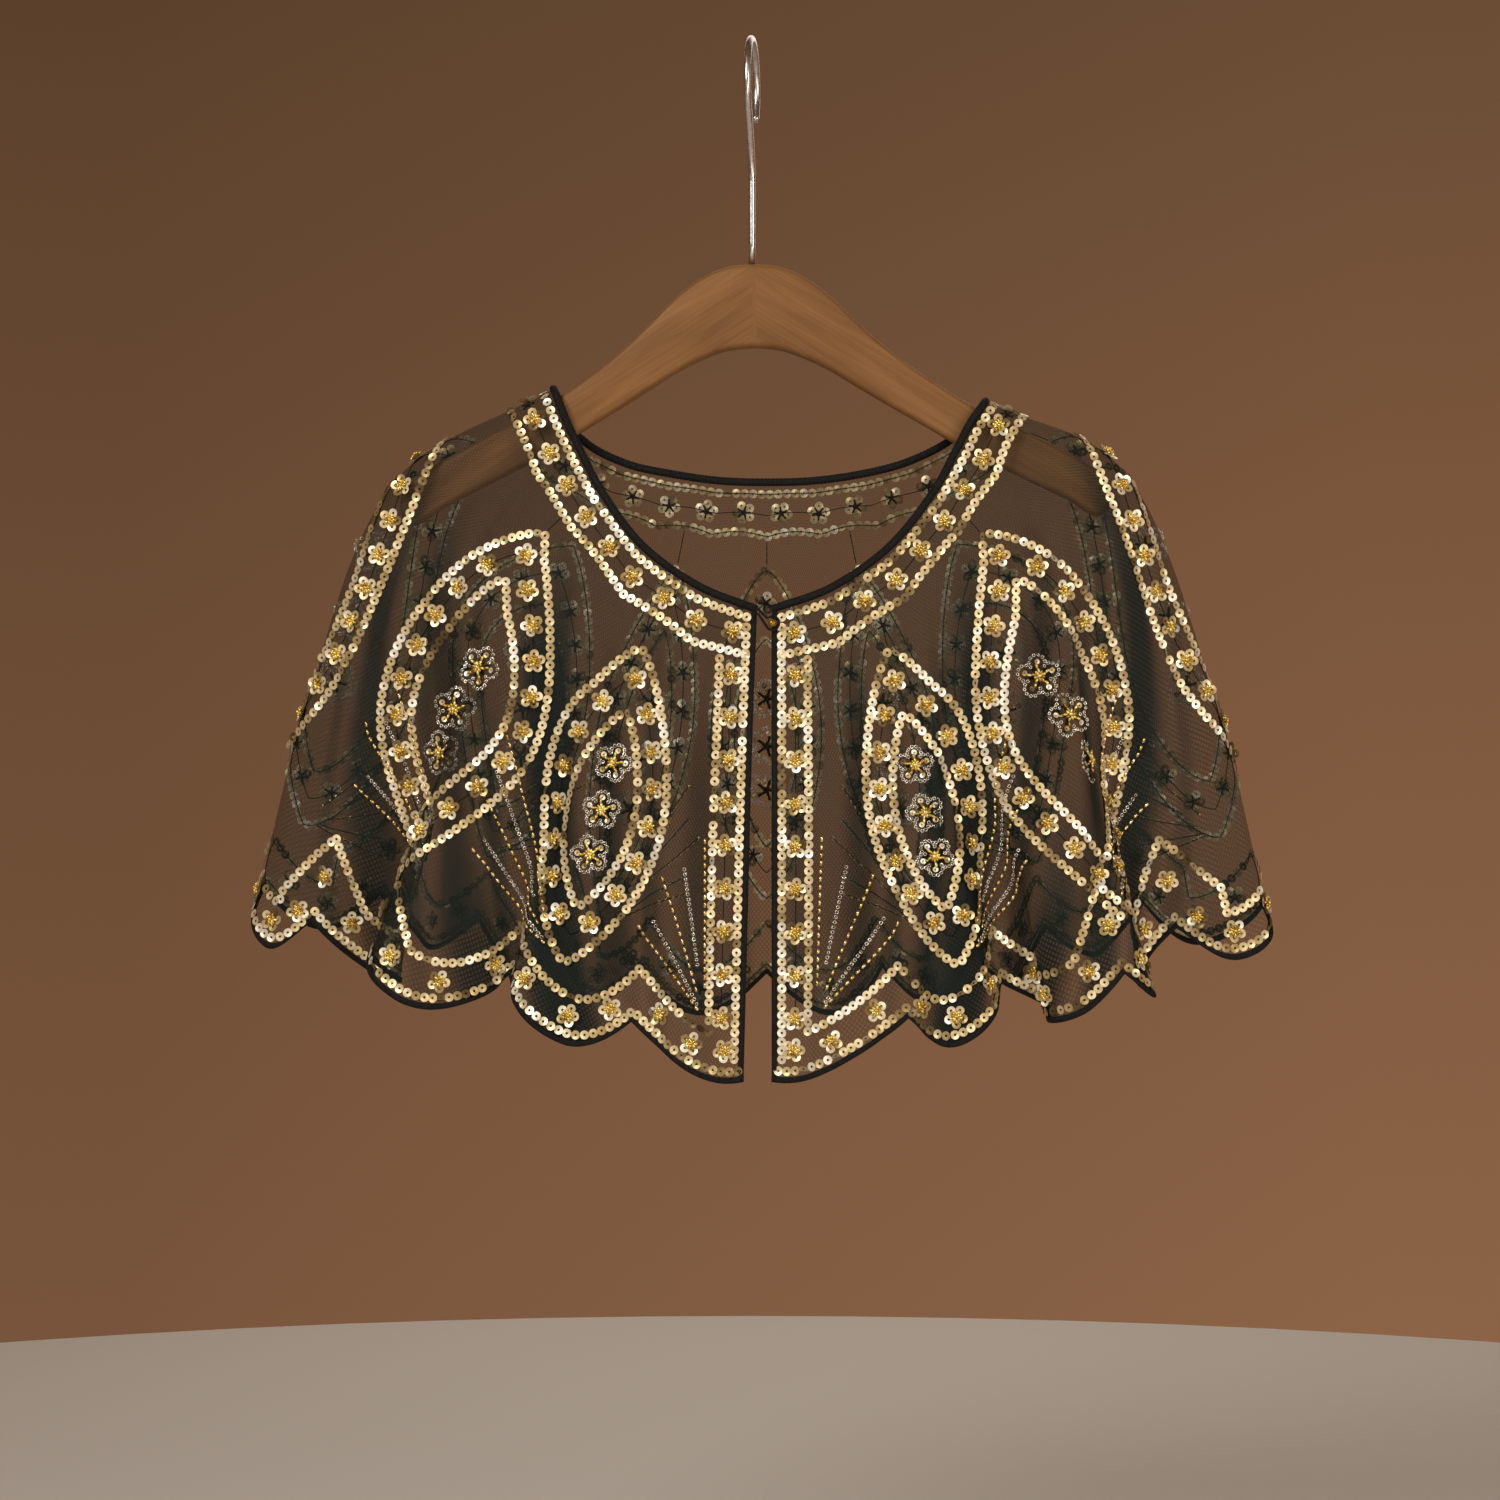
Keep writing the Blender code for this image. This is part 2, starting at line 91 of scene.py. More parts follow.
# The pattern: distances from the neck, the front edges and the hem, in mm
NECK_ROWS = (7.0, 30.0)
NECK_FLOWERS = 18.5
FRONT_ROWS = (6.4, 22.5)
FRONT_FLOWERS = 14.8
HEM_ROW = 7.0
HEM_UPPER = 28.0
HEM_FLOWERS = 17.0
ARCHES = (3, 17, 4, 16, 6, 14, 8, 12)  # cusps that carry a pointed arch
ARCH_PEAK = 54.0  # height over the cusp
ARCH_SLOPE = 1.65
ARCH_REACH = 34.0
ARCH_FLOWER = 25.0  # below the peak

# Leaves. Columns: place in the cut (one side), drop of the tip, height of the foot over the
# hem, half width in mm, fullness low down, sway of the axis in the cut, big flowers
LEAVES = (
    (1.61, 54.0, 44.0, 32.0, 1.00, 0.00, 3),
    (3.20, 47.0, 44.0, 45.0, 1.12, 0.11, 3),
    (5.22, 58.0, 56.0, 43.0, 1.05, 0.00, 3),
    (6.95, 56.0, 46.0, 42.0, 1.08, 0.05, 3),
    (8.50, 56.0, 44.0, 34.0, 1.00, 0.00, 3),
    (10.0, 48.0, 48.0, 36.0, 1.00, 0.00, 3),
)
LEAF_POWER = 0.78
INNER_IN = 15.5  # the inner row, in from the outer one at the sides, tip and foot
INNER_TOP = 39.0
INNER_FOOT = 33.0
BIG_FLOWER_AT = (0.37, 0.52, 0.66)
BIG_FLOWER_LEAST = 0.55  # a big flower's scale, and its growth with the leaf's half width
BIG_FLOWER_GROWTH = 0.0128
FLOWER_SWAY = 2.2  # the big flowers swing this much further than the leaf's axis

# Fans of strung beads. Columns: place of the focus (one side), its height over the hem, and
# how far the whole fan is turned toward the back, in degrees
FANS = (
    (0.40, 34.0, 0.0), (1.66, 46.0, 26.0), (3.16, 48.0, 22.0),
    (5.22, 60.0, 22.0), (6.95, 50.0, 20.0), (8.50, 48.0, 18.0),
)
# The rays of a fan. Columns: angle from the line down, first mm, last mm, and whether gold
RAYS = (
    (4.0, 20.0, 104.0, True), (12.0, 32.0, 88.0, False), (21.0, 18.0, 84.0, True),
    (33.0, 10.0, 62.0, False), (42.0, 8.0, 62.0, True),
)

# Look of the net
MESH_PERIOD = 2.0  # mm between its threads
MESH_SLANT = 0.58
MESH_SCALE = 60.0  # mm that one unit of the cut counts in its weave
MESH_SHEER = 0.16  # how opaque the net is between its threads, and on them
MESH_THREAD = 0.42
GATHER_OPAQUE = 0.74  # how much more opaque it is where it is gathered, and how much painted shade darkens it there
GATHER_PAINTED_SHADE = 0.55

# Steps that the larger meshes are made with
NET_LINES = 40  # for each scallop
NET_ROWS = 80
NET_TOP = 1.2  # mm from the neck and the hem to the net's own edges
NET_FOOT = 1.0
PIPING_STEPS = 900
HEM_STEPS = 1800
FRONT_STEPS = 330
NECK_STEPS = 500
BAND_STEPS = 200
ARM_STEPS = 95
TIP_STEPS = 30

# Camera and photo frame, in mm on the plane of the hanger
MM_PER_PIXEL = 0.6
IMAGE_SIDE = 1500
HANGER_PIXEL_X = 752
ORIGIN_PIXEL_Y = 43
CAMERA_DISTANCE = 2300.0
SENSOR = 36.0

# The lights. Columns: name, place in metres, size in metres, watts, colour
LAMPS = (
    ("key", (-1.3, -2.0, 1.0), 1.0, 46.0, (1.0, 0.97, 0.92)),
    ("fill", (1.7, -1.8, 0.1), 1.2, 22.0, (1.0, 0.95, 0.88)),
    ("low", (0.2, -2.3, -0.9), 0.9, 9.0, (1.0, 0.94, 0.86)),
    ("back", (0.3, 1.9, 0.7), 1.8, 15.0, (1.0, 0.95, 0.88)),
)
FLOOR_LEVEL = -1.0  # metres

# The hanger, as in the solids
WOOD_THICKNESS = 13.0
WOOD_EDGE = 4.2  # rounding of its edges
WOOD_TILT = math.radians(0.8)
WOOD_TOP = -133.0
ARM_SLOPE = 0.62  # the grain follows the arms at this slope
WIRE_RADIUS = 2.1
HOOK_INSIDE_RADIUS = 25.0
HOOK_TURN = math.radians(6.0)
HOOK_SWING_START = -84.0  # where the stem leaves its straight run
HOOK_SWING_PULL = 18.0  # how far that swing runs on straight at the stem
HOOK_BEND_PULL = 16.0  # and how far along the bend it is led in
HOOK_BEND_FROM = math.radians(212)
HOOK_BEND_TO = math.radians(-42)
SEAM_GAP = 0.3

# Drape of the net, as in the solids
SCALLOP_DEPTH = 26.0
SCALLOPS_PER_SIDE = 10
WHOLE = 2 * SCALLOPS_PER_SIDE
CORNER_START = 0.35
CENTRE_X = 9.0
YOKE_T = 0.30
FALL_T = 0.65
WING_BULGE = 11.0
WING_AT = 4.9  # the wing's place in the cut, and its spread
WING_SPREAD = 1.1

# The flat cut: a ring sector, in mm and radians
CUT_INNER = 223.0
CUT_ANGLE = 2.9

PLUMB = 0.35  # how far a plumb line leans in the cut, per unit from the centre
PLUMB_MOST = 0.78

# Rings of the drape. "cut" counts scallops from a front edge (0) to the back centre (10), and
# "out" is the distance to the side from the stole's centre line, so each side reads alike.
# Columns: cut, out, y, z
NECK_LEFT = (
    (0.00, 6, -33, -341), (1.00, 41, -34, -327), (2.00, 74, -30, -303),
    (3.00, 98, -23, -271), (4.00, 113, -14.5, -242), (4.60, 121, -12, -225),
    (4.85, 126, -9.5, -212), (5.00, 128, 0, -207.5), (5.15, 126, 9.5, -212),
    (5.40, 120, 12, -226), (6.00, 110, 14, -238), (7.00, 85, 18, -251),
    (8.00, 58, 20, -257), (9.00, 29, 22, -261), (10.0, 0, 22, -262),
)
NECK_RIGHT = (
    (0.00, 2.5, -33, -341), (1.00, 38, -34, -328), (2.00, 72, -30, -304),
    (3.00, 98, -23, -272), (4.00, 114, -14.5, -243), (4.60, 123, -11.5, -226.5),
    (4.85, 129, -8.5, -218), (5.00, 131, 0, -215), (5.15, 129, 8.5, -218),
    (5.40, 122, 11.5, -227), (6.00, 111, 14, -237), (7.00, 85, 18, -250),
    (8.00, 58, 20, -257), (9.00, 29, 22, -261), (10.0, 0, 22, -262),
)
YOKE_LEFT = (
    (0.00, 9, -38, -424), (1.00, 52, -42, -411), (2.00, 101, -35, -382),
    (3.00, 152, -28, -340), (4.00, 192, -18.5, -304), (4.60, 210, -12.5, -280),
    (4.85, 219, -8.5, -266), (5.00, 222, 0, -261.5), (5.15, 219, 8.5, -266),
    (5.40, 208, 13, -280), (6.00, 182, 20, -304), (7.00, 130, 26, -334),
    (8.00, 84, 30, -350), (9.00, 42, 31, -358), (10.0, 0, 31, -360),
)
YOKE_RIGHT = (
    (0.00, 2.5, -38, -424), (1.00, 50, -42, -411), (2.00, 97, -35, -384),
    (3.00, 145, -28, -342), (4.00, 185, -18.5, -302), (4.60, 203, -12.5, -276),
    (4.85, 211, -8.5, -261), (5.00, 214, 0, -256.5), (5.15, 211, 8.5, -261),
    (5.40, 202, 13, -276), (6.00, 178, 20, -302), (7.00, 128, 26, -334),
    (8.00, 84, 30, -350), (9.00, 42, 31, -358), (10.0, 0, 31, -360),
)

# The hem's plan, with its folds. Columns: cut, out, y
HEM_LEFT = (
    (0.00, 14, -50), (0.50, 46, -56), (1.00, 80, -47), (1.50, 121, -54),
    (1.85, 150, -46), (2.05, 155, -28), (2.35, 184, -36), (2.70, 220, -47),
    (2.95, 238, -35), (3.15, 230, -15), (3.40, 222, 0), (3.65, 240, 6),
    (4.00, 273, -5), (4.50, 300, -9), (4.80, 309, 2), (5.00, 304, 17),
    (5.50, 270, 30), (6.00, 234, 20), (6.30, 214, 34), (6.60, 204, 54),
    (7.00, 178, 58), (7.30, 160, 43), (7.60, 150, 27), (8.00, 128, 32),
    (8.40, 112, 54), (8.80, 88, 60), (9.10, 70, 50), (9.50, 42, 40), (10.0, 0, 46),
)
HEM_RIGHT = (
    (0.00, 2.5, -50), (0.50, 38, -57), (1.00, 83, -47), (1.50, 113, -54),
    (1.80, 134, -46), (2.00, 140, -28), (2.25, 168, -16), (2.50, 170, -36),
    (2.75, 190, -48), (3.00, 210, -46), (3.30, 227, -37), (3.45, 227, -22),
    (3.65, 220, -6), (3.85, 232, 2), (4.05, 250, -3), (4.50, 283, -9),
    (4.80, 303, 0), (5.00, 300, 17), (5.50, 262, 30), (6.00, 228, 22),
    (6.30, 210, 36), (6.60, 198, 55), (7.00, 172, 58), (7.30, 156, 42),
    (7.60, 146, 27), (8.00, 126, 34), (8.40, 108, 55), (8.80, 84, 60),
    (9.10, 66, 51), (9.50, 40, 41), (10.0, 0, 46),
)

# The line through the hem's cusps. Columns: cut, z on the left, z on the right
CUSP_LEVEL = (
    (0.0, -596, -596), (1.0, -584, -582), (2.0, -557, -562), (3.0, -546, -556),
    (4.0, -527, -531), (5.0, -508, -519), (6.0, -512, -518), (7.0, -530, -534),
    (8.0, -546, -548), (9.0, -558, -558), (10.0, -561, -561),
)

# The hanger's outline. Columns: distance from its middle, z of the top edge, z of the lower edge
WOOD_OUTLINE = (
    (0, -133.0, -183.0), (15, -134.5, -184.5), (31, -141.0, -190.0), (47, -153.0, -198.0),
    (63, -169.0, -208.0), (82, -186.0, -219.5), (105, -203.0, -233.0), (130, -219.0, -248.0),
    (160, -234.0, -263.0), (188, -248.5, -277.0),
)
ARM_END = ((203, -257.5), (210, -265.0), (213, -274.0), (211, -283.0), (203, -286.5))

# Creases of the net, on top of the drape. Each hangs plumb, so it crosses the lines of the cut.
# Columns: place in the cut at half drop, width in the cut, share of the drop at which it
# begins, height in mm, and how much denser the gathered net is, 0 to 1, which also sets the painted
# shade that darkens it there
CREASES = (
    (0.55, 0.08, 0.35, 1.4, 0.10), (1.18, 0.06, 0.15, -1.6, 0.25), (1.48, 0.05, 0.30, 1.2, 0.20),
    (2.20, 0.20, 0.08, -3.4, 1.00), (2.48, 0.05, 0.15, 1.6, 0.30), (2.72, 0.06, 0.35, -2.0, 0.55),
    (2.95, 0.15, 0.62, 2.6, 0.80), (3.30, 0.06, 0.12, 1.5, 0.30), (3.72, 0.07, 0.18, -2.0, 0.45),
    (4.27, 0.13, 0.16, -2.8, 0.70), (4.62, 0.05, 0.22, 1.6, 0.35), (5.45, 0.10, 0.25, -1.8, 0.35),
    (6.10, 0.14, 0.15, 2.6, 0.60), (6.50, 0.06, 0.12, -1.8, 0.30), (7.10, 0.12, 0.20, 2.2, 0.60),
    (7.46, 0.07, 0.15, -2.0, 0.35), (8.05, 0.13, 0.30, 2.0, 0.65), (8.62, 0.08, 0.20, -1.6, 0.30),
    (9.25, 0.12, 0.32, 1.8, 0.45), (9.72, 0.06, 0.25, -1.4, 0.25), (10.4, 0.08, 0.38, 1.5, 0.30),
    (11.1, 0.13, 0.22, -1.8, 0.55), (11.6, 0.08, 0.18, 2.0, 0.35), (12.2, 0.14, 0.28, -2.2, 0.70),
    (12.8, 0.07, 0.14, 1.8, 0.30), (13.4, 0.13, 0.15, -2.4, 0.60), (14.1, 0.08, 0.25, 1.7, 0.30),
    (15.3, 0.06, 0.20, -1.6, 0.30), (15.74, 0.16, 0.14, 3.0, 0.85), (16.15, 0.06, 0.18, 1.7, 0.40),
    (16.42, 0.11, 0.25, -2.4, 0.75), (16.84, 0.13, 0.58, 2.4, 0.80), (17.20, 0.05, 0.12, -1.6, 0.35),
    (17.80, 0.20, 0.08, 3.2, 1.00), (18.22, 0.06, 0.16, 1.8, 0.45), (18.72, 0.05, 0.28, -1.4, 0.20),
    (19.35, 0.08, 0.38, 1.4, 0.10),
)


def hermite(s, width, start, end, leaving, arriving):
    """One span of a smooth curve, from its two ends and its slopes there."""
    return (
        (2 * s**3 - 3 * s**2 + 1) * start
        + (s**3 - 2 * s**2 + s) * width * leaving
        + (3 * s**2 - 2 * s**3) * end
        + (s**3 - s**2) * width * arriving
    )


def whole_ring(left, right):
    """Join a left and a right table into one ring: knots 0 to 20, and a point at each."""
    knots = []
    points = []
    for cut, out, *rest in left:
        knots.append(cut)
        points.append([CENTRE_X - out, *rest])
    for cut, out, *rest in right[-2::-1]:
        knots.append(WHOLE - cut)
        points.append([CENTRE_X + out, *rest])
    return np.array(knots), np.array(points, dtype=float)


def smooth_read(ring, where):
    """Read a ring between its knots on one smooth curve."""
    knots, points = ring
    steps = np.diff(knots)[:, None]
    slopes = np.diff(points, axis=0) / steps
    tangents = np.empty_like(points)
    tangents[0] = slopes[0]
    tangents[-1] = slopes[-1]
    tangents[1:-1] = (slopes[:-1] * steps[1:] + slopes[1:] * steps[:-1]) / (steps[:-1] + steps[1:])
    where = np.atleast_1d(where)
    i = np.clip(np.searchsorted(knots, where, side="right") - 1, 0, len(knots) - 2)
    s = ((where - knots[i])[:, None]) / steps[i]
    return hermite(s, steps[i], points[i], points[i + 1], tangents[i], tangents[i + 1])


def scallop(where):
    """Share of the scallop's depth, 0 at a cusp and 1 at its lowest point."""
    from_front = np.minimum(where, WHOLE - where)
    corner = CORNER_START + (1 - CORNER_START) * from_front
    part = np.where(from_front < 1.0, corner, from_front % 1.0)
    return np.abs(np.sin(np.pi * part))


NECK_RING = whole_ring(NECK_LEFT, NECK_RIGHT)
YOKE_RING = whole_ring(YOKE_LEFT, YOKE_RIGHT)
HEM_PLAN = whole_ring(HEM_LEFT, HEM_RIGHT)
LEVEL_RING = (
    np.array([row[0] for row in CUSP_LEVEL] + [WHOLE - row[0] for row in CUSP_LEVEL[-2::-1]]),
    np.array([row[1:2] for row in CUSP_LEVEL] + [row[2:] for row in CUSP_LEVEL[-2::-1]], float),
)


def drape(where, share):
    """Points of the net's middle surface, in mm.

    where runs round the cut from the left front edge (0) by the back centre (10) to the right
    front edge (20); share runs down each line from the neck (0) to the hem (1).
    """
    where, share = np.broadcast_arrays(np.atleast_1d(where), np.atleast_1d(share))
    neck = smooth_read(NECK_RING, where)
    yoke = smooth_read(YOKE_RING, where)
    plan = smooth_read(HEM_PLAN, where)
    level = smooth_read(LEVEL_RING, where)
    hem = np.hstack([plan, level - SCALLOP_DEPTH * scallop(where)[:, None]])
    wing = np.exp(-((np.minimum(where, WHOLE - where) - WING_AT) / WING_SPREAD) ** 2)
    outward = np.sign(yoke[:, :1] - CENTRE_X)
    fall = yoke + (hem - yoke) * ((FALL_T - YOKE_T) / (1 - YOKE_T))
    fall[:, :1] += outward * WING_BULGE * wing[:, None]
    rings = (neck, yoke, fall, hem)
    stops = (0.0, YOKE_T, FALL_T, 1.0)
    slopes = [(rings[i + 1] - rings[i]) / (stops[i + 1] - stops[i]) for i in range(3)]
    tangents = [slopes[0], (slopes[0] + slopes[1]) / 2, (slopes[1] + slopes[2]) / 2, slopes[2]]
    found = np.zeros_like(neck)
    for i in range(3):
        width = stops[i + 1] - stops[i]
        s = ((share - stops[i]) / width)[:, None]
        piece = hermite(s, width, rings[i], rings[i + 1], tangents[i], tangents[i + 1])
        inside = (share >= stops[i]) & ((share < stops[i + 1]) | (i == 2))
        found[inside] = piece[inside]
    return found


def unit(rows):
    """Each row of an array, scaled to a length of 1."""
    return rows / np.linalg.norm(rows, axis=1)[:, None]


def unit_beside(rows, normals):
    """Each row without its part along a normal, scaled to a length of 1."""
    return unit(rows - normals * (rows * normals).sum(axis=1)[:, None])


def run_along(points):
    """Distance along a line of points, from its first one to each."""
    return np.concatenate([[0], np.cumsum(np.linalg.norm(np.diff(points, axis=0), axis=1))])


def outward_normal(where, share):
    """Unit normals of the drape, pointing to the outside of the cape."""
    step = 0.004
    along = drape(where + step, share) - drape(where - step, share)
    down = drape(where, share + step) - drape(where, share - step)
    return unit(np.cross(along, down))


LINES = np.arange(0.0, WHOLE + 0.02, 0.02)
LINE_DROPS = np.array([run_along(drape(where, np.linspace(0, 1, 25)))[-1] for where in LINES])


def drop_at(where):
    """Length from neck to hem at a place in the cut, in mm."""
    return np.interp(where, LINES, LINE_DROPS)


def creases(where, share):
    """Height of the creases in mm, and how densely the net is gathered there, 0 to 1."""
    height = np.zeros(np.shape(where))
    dense = np.zeros(np.shape(where))
    for place, width, begin, rise, gather in CREASES:
        aside = (place + SCALLOPS_PER_SIDE / 2) % SCALLOPS_PER_SIDE - SCALLOPS_PER_SIDE / 2
        lean = math.copysign(min(PLUMB * abs(aside), PLUMB_MOST), aside)
        grow = np.clip((share - begin) / 0.3, 0, 1)
        grow = grow * grow * (3 - 2 * grow)
        across = (where - place - lean * (1 - 2 * share)) / (width * (0.7 + 0.5 * share))
        height += rise * grow * np.exp(-across**2)
        dense = np.maximum(dense, gather * grow * np.exp(-np.abs(across / 1.25) ** 3))
    return height, dense


def cloth(where, share, lift=0.0):
    """Points on the net in mm, lifted outward, and the outward normals."""
    where = np.asarray(where, dtype=float)
    share = np.asarray(share, dtype=float)
    normal = outward_normal(where, share)
    point = drape(where, share) + normal * (creases(where, share)[0] + lift)[:, None]
    return point, normal


def frames(where, drop, lift):
    """Point, along, down and outward directions at places given by cut and mm from the neck."""
    where = np.asarray(where, dtype=float)
    share = np.asarray(drop, dtype=float) / drop_at(where)
    step = 0.003
    point, normal = cloth(where, share, lift)
    ahead = cloth(where + step, share, lift)[0] - cloth(where - step, share, lift)[0]
    below = cloth(where, share + step, lift)[0] - cloth(where, share - step, lift)[0]
    out = unit(np.cross(ahead, below))
    out *= np.sign((out * normal).sum(axis=1))[:, None]
    down = unit_beside(below, out)
    return point, np.cross(down, out), down, out


def cut_scale(where, drop):
    """How many mm one unit of the cut measures there."""
    low = np.clip(where - 0.02, 0, WHOLE)
    high = np.clip(where + 0.02, 0, WHOLE)
    share = drop / drop_at(where)
    return np.linalg.norm(drape(high, share) - drape(low, share), axis=1) / (high - low)


def flat_scale(drop):
    """How many mm one unit of the cut measures in the flat ring that the net is cut from."""
    return (CUT_INNER + drop) * CUT_ANGLE / WHOLE


def even_places(where, drop, step, start=0.0, end=0.0):
    """Places at even spacing in 3-D along a line drawn in the cut."""
    run = run_along(cloth(where, drop / drop_at(where))[0])
    count = max(1, round((run[-1] - start - end) / step))
    stops = np.linspace(start, run[-1] - end, count + 1)
    return np.interp(stops, run, where), np.interp(stops, run, drop)


# Meshes that are many copies of one small shape


class Copies:
    """Collects placed copies of a small mesh and joins them into one object."""

    def __init__(self, points, faces, shade=1.0):
        self.points = np.array(points, dtype=float)
        self.faces = faces
        self.shade = np.broadcast_to(np.asarray(shade, dtype=float), len(points))
        self.sets = []
        self.tones = []

    def add(self, origin, x_axis, y_axis, z_axis, tone):
        """origin and axes are one row of mm for each copy, or one for all; tone is a list."""
        origin, x_axis, y_axis, z_axis = (
            np.atleast_2d(v)[:, None, :] for v in (origin, x_axis, y_axis, z_axis))
        x, y, z = (self.points[None, :, i:i + 1] for i in range(3))
        self.sets.append((origin + x * x_axis + y * y_axis + z * z_axis).reshape(-1, 3))
        self.tones.append((np.asarray(tone, dtype=float)[:, None] * self.shade).ravel())

    def build(self, name, mat, slot):
        points = np.concatenate(self.sets)
        faces = [
            tuple(first + i for i in face)
            for first in range(0, len(points), len(self.points))
            for face in self.faces
        ]
        return mesh_piece(name, points, faces, mat, slot, np.concatenate(self.tones))


def linked(name, data):
    """A new object in the scene."""
    made = bpy.data.objects.new(name, data)
    bpy.context.scene.collection.objects.link(made)
    return made


def built_object(name, build, mat):
    """An object with one material from a finished bmesh."""
    made = bpy.data.meshes.new(name)
    build.to_mesh(made)
    build.free()
    made.materials.append(mat)
    return linked(name, made)


def mesh_piece(name, points, faces, mat, slot, tones=None, uv=None):
    """Make an object from points in mm and ride it on the body."""
    made = bpy.data.meshes.new(name)
    made.from_pydata([tuple(p) for p in np.asarray(points) * MM], [], faces)
    made.shade_smooth()
    if tones is not None:
        layer = made.attributes.new("tone", "FLOAT", "POINT")
        layer.data.foreach_set("value", np.asarray(tones, dtype=np.float32))
    if uv is not None:
        layer = made.uv_layers.new(name="UVMap")
        corner = np.empty(len(made.loops), dtype=np.int32)
        made.loops.foreach_get("vertex_index", corner)
        layer.data.foreach_set("uv", np.asarray(uv, dtype=np.float32)[corner].ravel())
    made.materials.append(mat)
    piece = linked(name, made)
    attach(piece, "root")
    return piece


def band(first, second, sides, turned=False):
    """Faces between two rings of points, each ring named by its first point."""
    faces = []
    for k in range(sides):
        nxt = (k + 1) % sides
        face = (first + k, second + k, second + nxt, first + nxt)
        faces.append((face[0], *face[:0:-1]) if turned else face)
    return faces


def bar_faces(count, sides):
    """Faces of a bar that is a run of rings of points, with a cap at each end."""
    faces = [face for i in range(count - 1)
             for face in band(i * sides, (i + 1) * sides, sides, True)]
    faces.append(tuple(reversed(range(sides))))
    faces.append(tuple((count - 1) * sides + k for k in range(sides)))
    return faces


def circle(sides):
    """Cosines and sines of evenly spaced directions."""
    turns = [2 * math.pi * k / sides for k in range(sides)]
    return [(math.cos(turn), math.sin(turn)) for turn in turns]


def sequin_shape(sides=12):
    """A shallow cupped disc with a hole: a bright top and a dull underside just below it."""
    rings = ((SEQUIN_HOLE, 0.0), (SEQUIN_RADIUS, SEQUIN_CUP),
             (SEQUIN_HOLE, -SEQUIN_WALL), (SEQUIN_RADIUS, SEQUIN_CUP - SEQUIN_WALL))
    points = [(radius * x, radius * y, height) for radius, height in rings for x, y in circle(sides)]
    faces = band(0, sides, sides) + band(2 * sides, 3 * sides, sides, True)
    return points, faces, np.repeat((1.0, UNDERSIDE), 2 * sides)


def bead_shape(radius, sides=6):
    """A small bead, long along its X axis."""
    levels = ((-1.0, 0.35), (-0.55, 0.88), (0.55, 0.88), (1.0, 0.35))
    points = [(along * radius * BEAD_STRETCH, wide * radius * x, wide * radius * y)
              for along, wide in levels for x, y in circle(sides)]
    return points, bar_faces(len(levels), sides)


def ring_shape(radius, wire, around=8, sides=4):
    """A tiny flat ring."""
    points = [((radius - wire + wire * across) * x, (radius - wire + wire * across) * y, wire * up)
              for x, y in circle(around) for across, up in circle(sides)]
    faces = [face for i in range(around)
             for face in band(i * sides, (i + 1) % around * sides, sides)]
    return points, faces


def star_shape(reach, half_width):
    """Long stitches that cross at the middle of a flower, on the inside of the net."""
    points = []
    faces = []
    top = np.array((0.0, 0.0, half_width))
    for x, y in circle(PETALS):
        side = np.array((-y, x, 0.0)) * half_width
        base = len(points)
        for out in (np.zeros(3), np.array((x, y, 0.0)) * reach):
            points.extend((out + side, out - side, out + top))
        for face in ((0, 3, 4, 1), (1, 4, 5, 2), (2, 5, 3, 0), (5, 4, 3)):
            faces.append(tuple(base + i for i in face))
    return points, faces


ROW_SEQUINS = Copies(*sequin_shape())
FLOWER_SEQUINS = Copies(*sequin_shape())
GOLD_BEADS = Copies(*bead_shape(BEAD_RADIUS))
SEED_BEADS = Copies(*bead_shape(SEED_RADIUS))
SILVER_RINGS = Copies(*ring_shape(RING_RADIUS, RING_WIRE))
FLOWER_STITCHES = Copies(*star_shape(STITCH_REACH, STITCH_HALF_WIDTH))
# What each string is made of: shape, step, size and how unevenly it lies
GOLD_STRING = (SEED_BEADS, SEED_STEP, 1.0, 0.12)
RING_STRING = (SILVER_RINGS, RING_STEP, 1.06, 0.35)
THREADS = []  # stitched lines: places, drops and lift over the net


def tilted(x_axis, y_axis, z_axis, lean, spread):
    """Turn each frame a little at random about X and Y, so that the discs catch the light."""
    count = len(x_axis)
    about_x = RNG.normal(0, spread, count)[:, None]
    about_y = (lean + RNG.normal(0, spread, count))[:, None]
    new_z = unit(z_axis + y_axis * np.sin(about_x) + x_axis * np.sin(about_y))
    new_x = unit_beside(x_axis, new_z)
    return new_x, np.cross(new_z, new_x), new_z


def tones_with_painted_glints(count):
    """Tones from 0 to 1 that drift along a row, with some scatter from disc to disc: partly the
    sequins' own uneven colour, partly painted glints and painted shade.
    """
    drift = np.convolve(RNG.random(count + 6), np.ones(7) / 7, "valid")
    return np.clip(0.5 + (drift - 0.5) * 1.9 + (RNG.random(count) - 0.5) * 0.55, 0, 1)


def row_frames(where, drop, lift, lean, spread):
    """Points and tilted frames of small things in a row, with X along the row."""
    point, along, down, out = frames(where, drop, lift)
    run = unit_beside(np.gradient(point, axis=0), out)
    return point, *tilted(run, np.cross(out, run), out, lean, spread)


def sequin_row(where, drop, start=0.0, end=0.0):
    """Sequins sewn edge over edge along a line, with the thread that holds them behind."""
    row_where, row_drop = even_places(where, drop, SEQUIN_STEP, start, end)
    point, x_axis, y_axis, z_axis = row_frames(row_where, row_drop, ROW_LIFT, 0.13, 0.10)
    turned = RNG.random(len(point)) < TURNED_SHARE
    z_axis[turned] = (z_axis[turned] + y_axis[turned] * 0.9) / math.hypot(1.0, 0.9)
    y_axis[turned] = np.cross(z_axis[turned], x_axis[turned])
    ROW_SEQUINS.add(point, x_axis, y_axis, z_axis, tones_with_painted_glints(len(point)))
    THREADS.append((where, drop, -0.5))


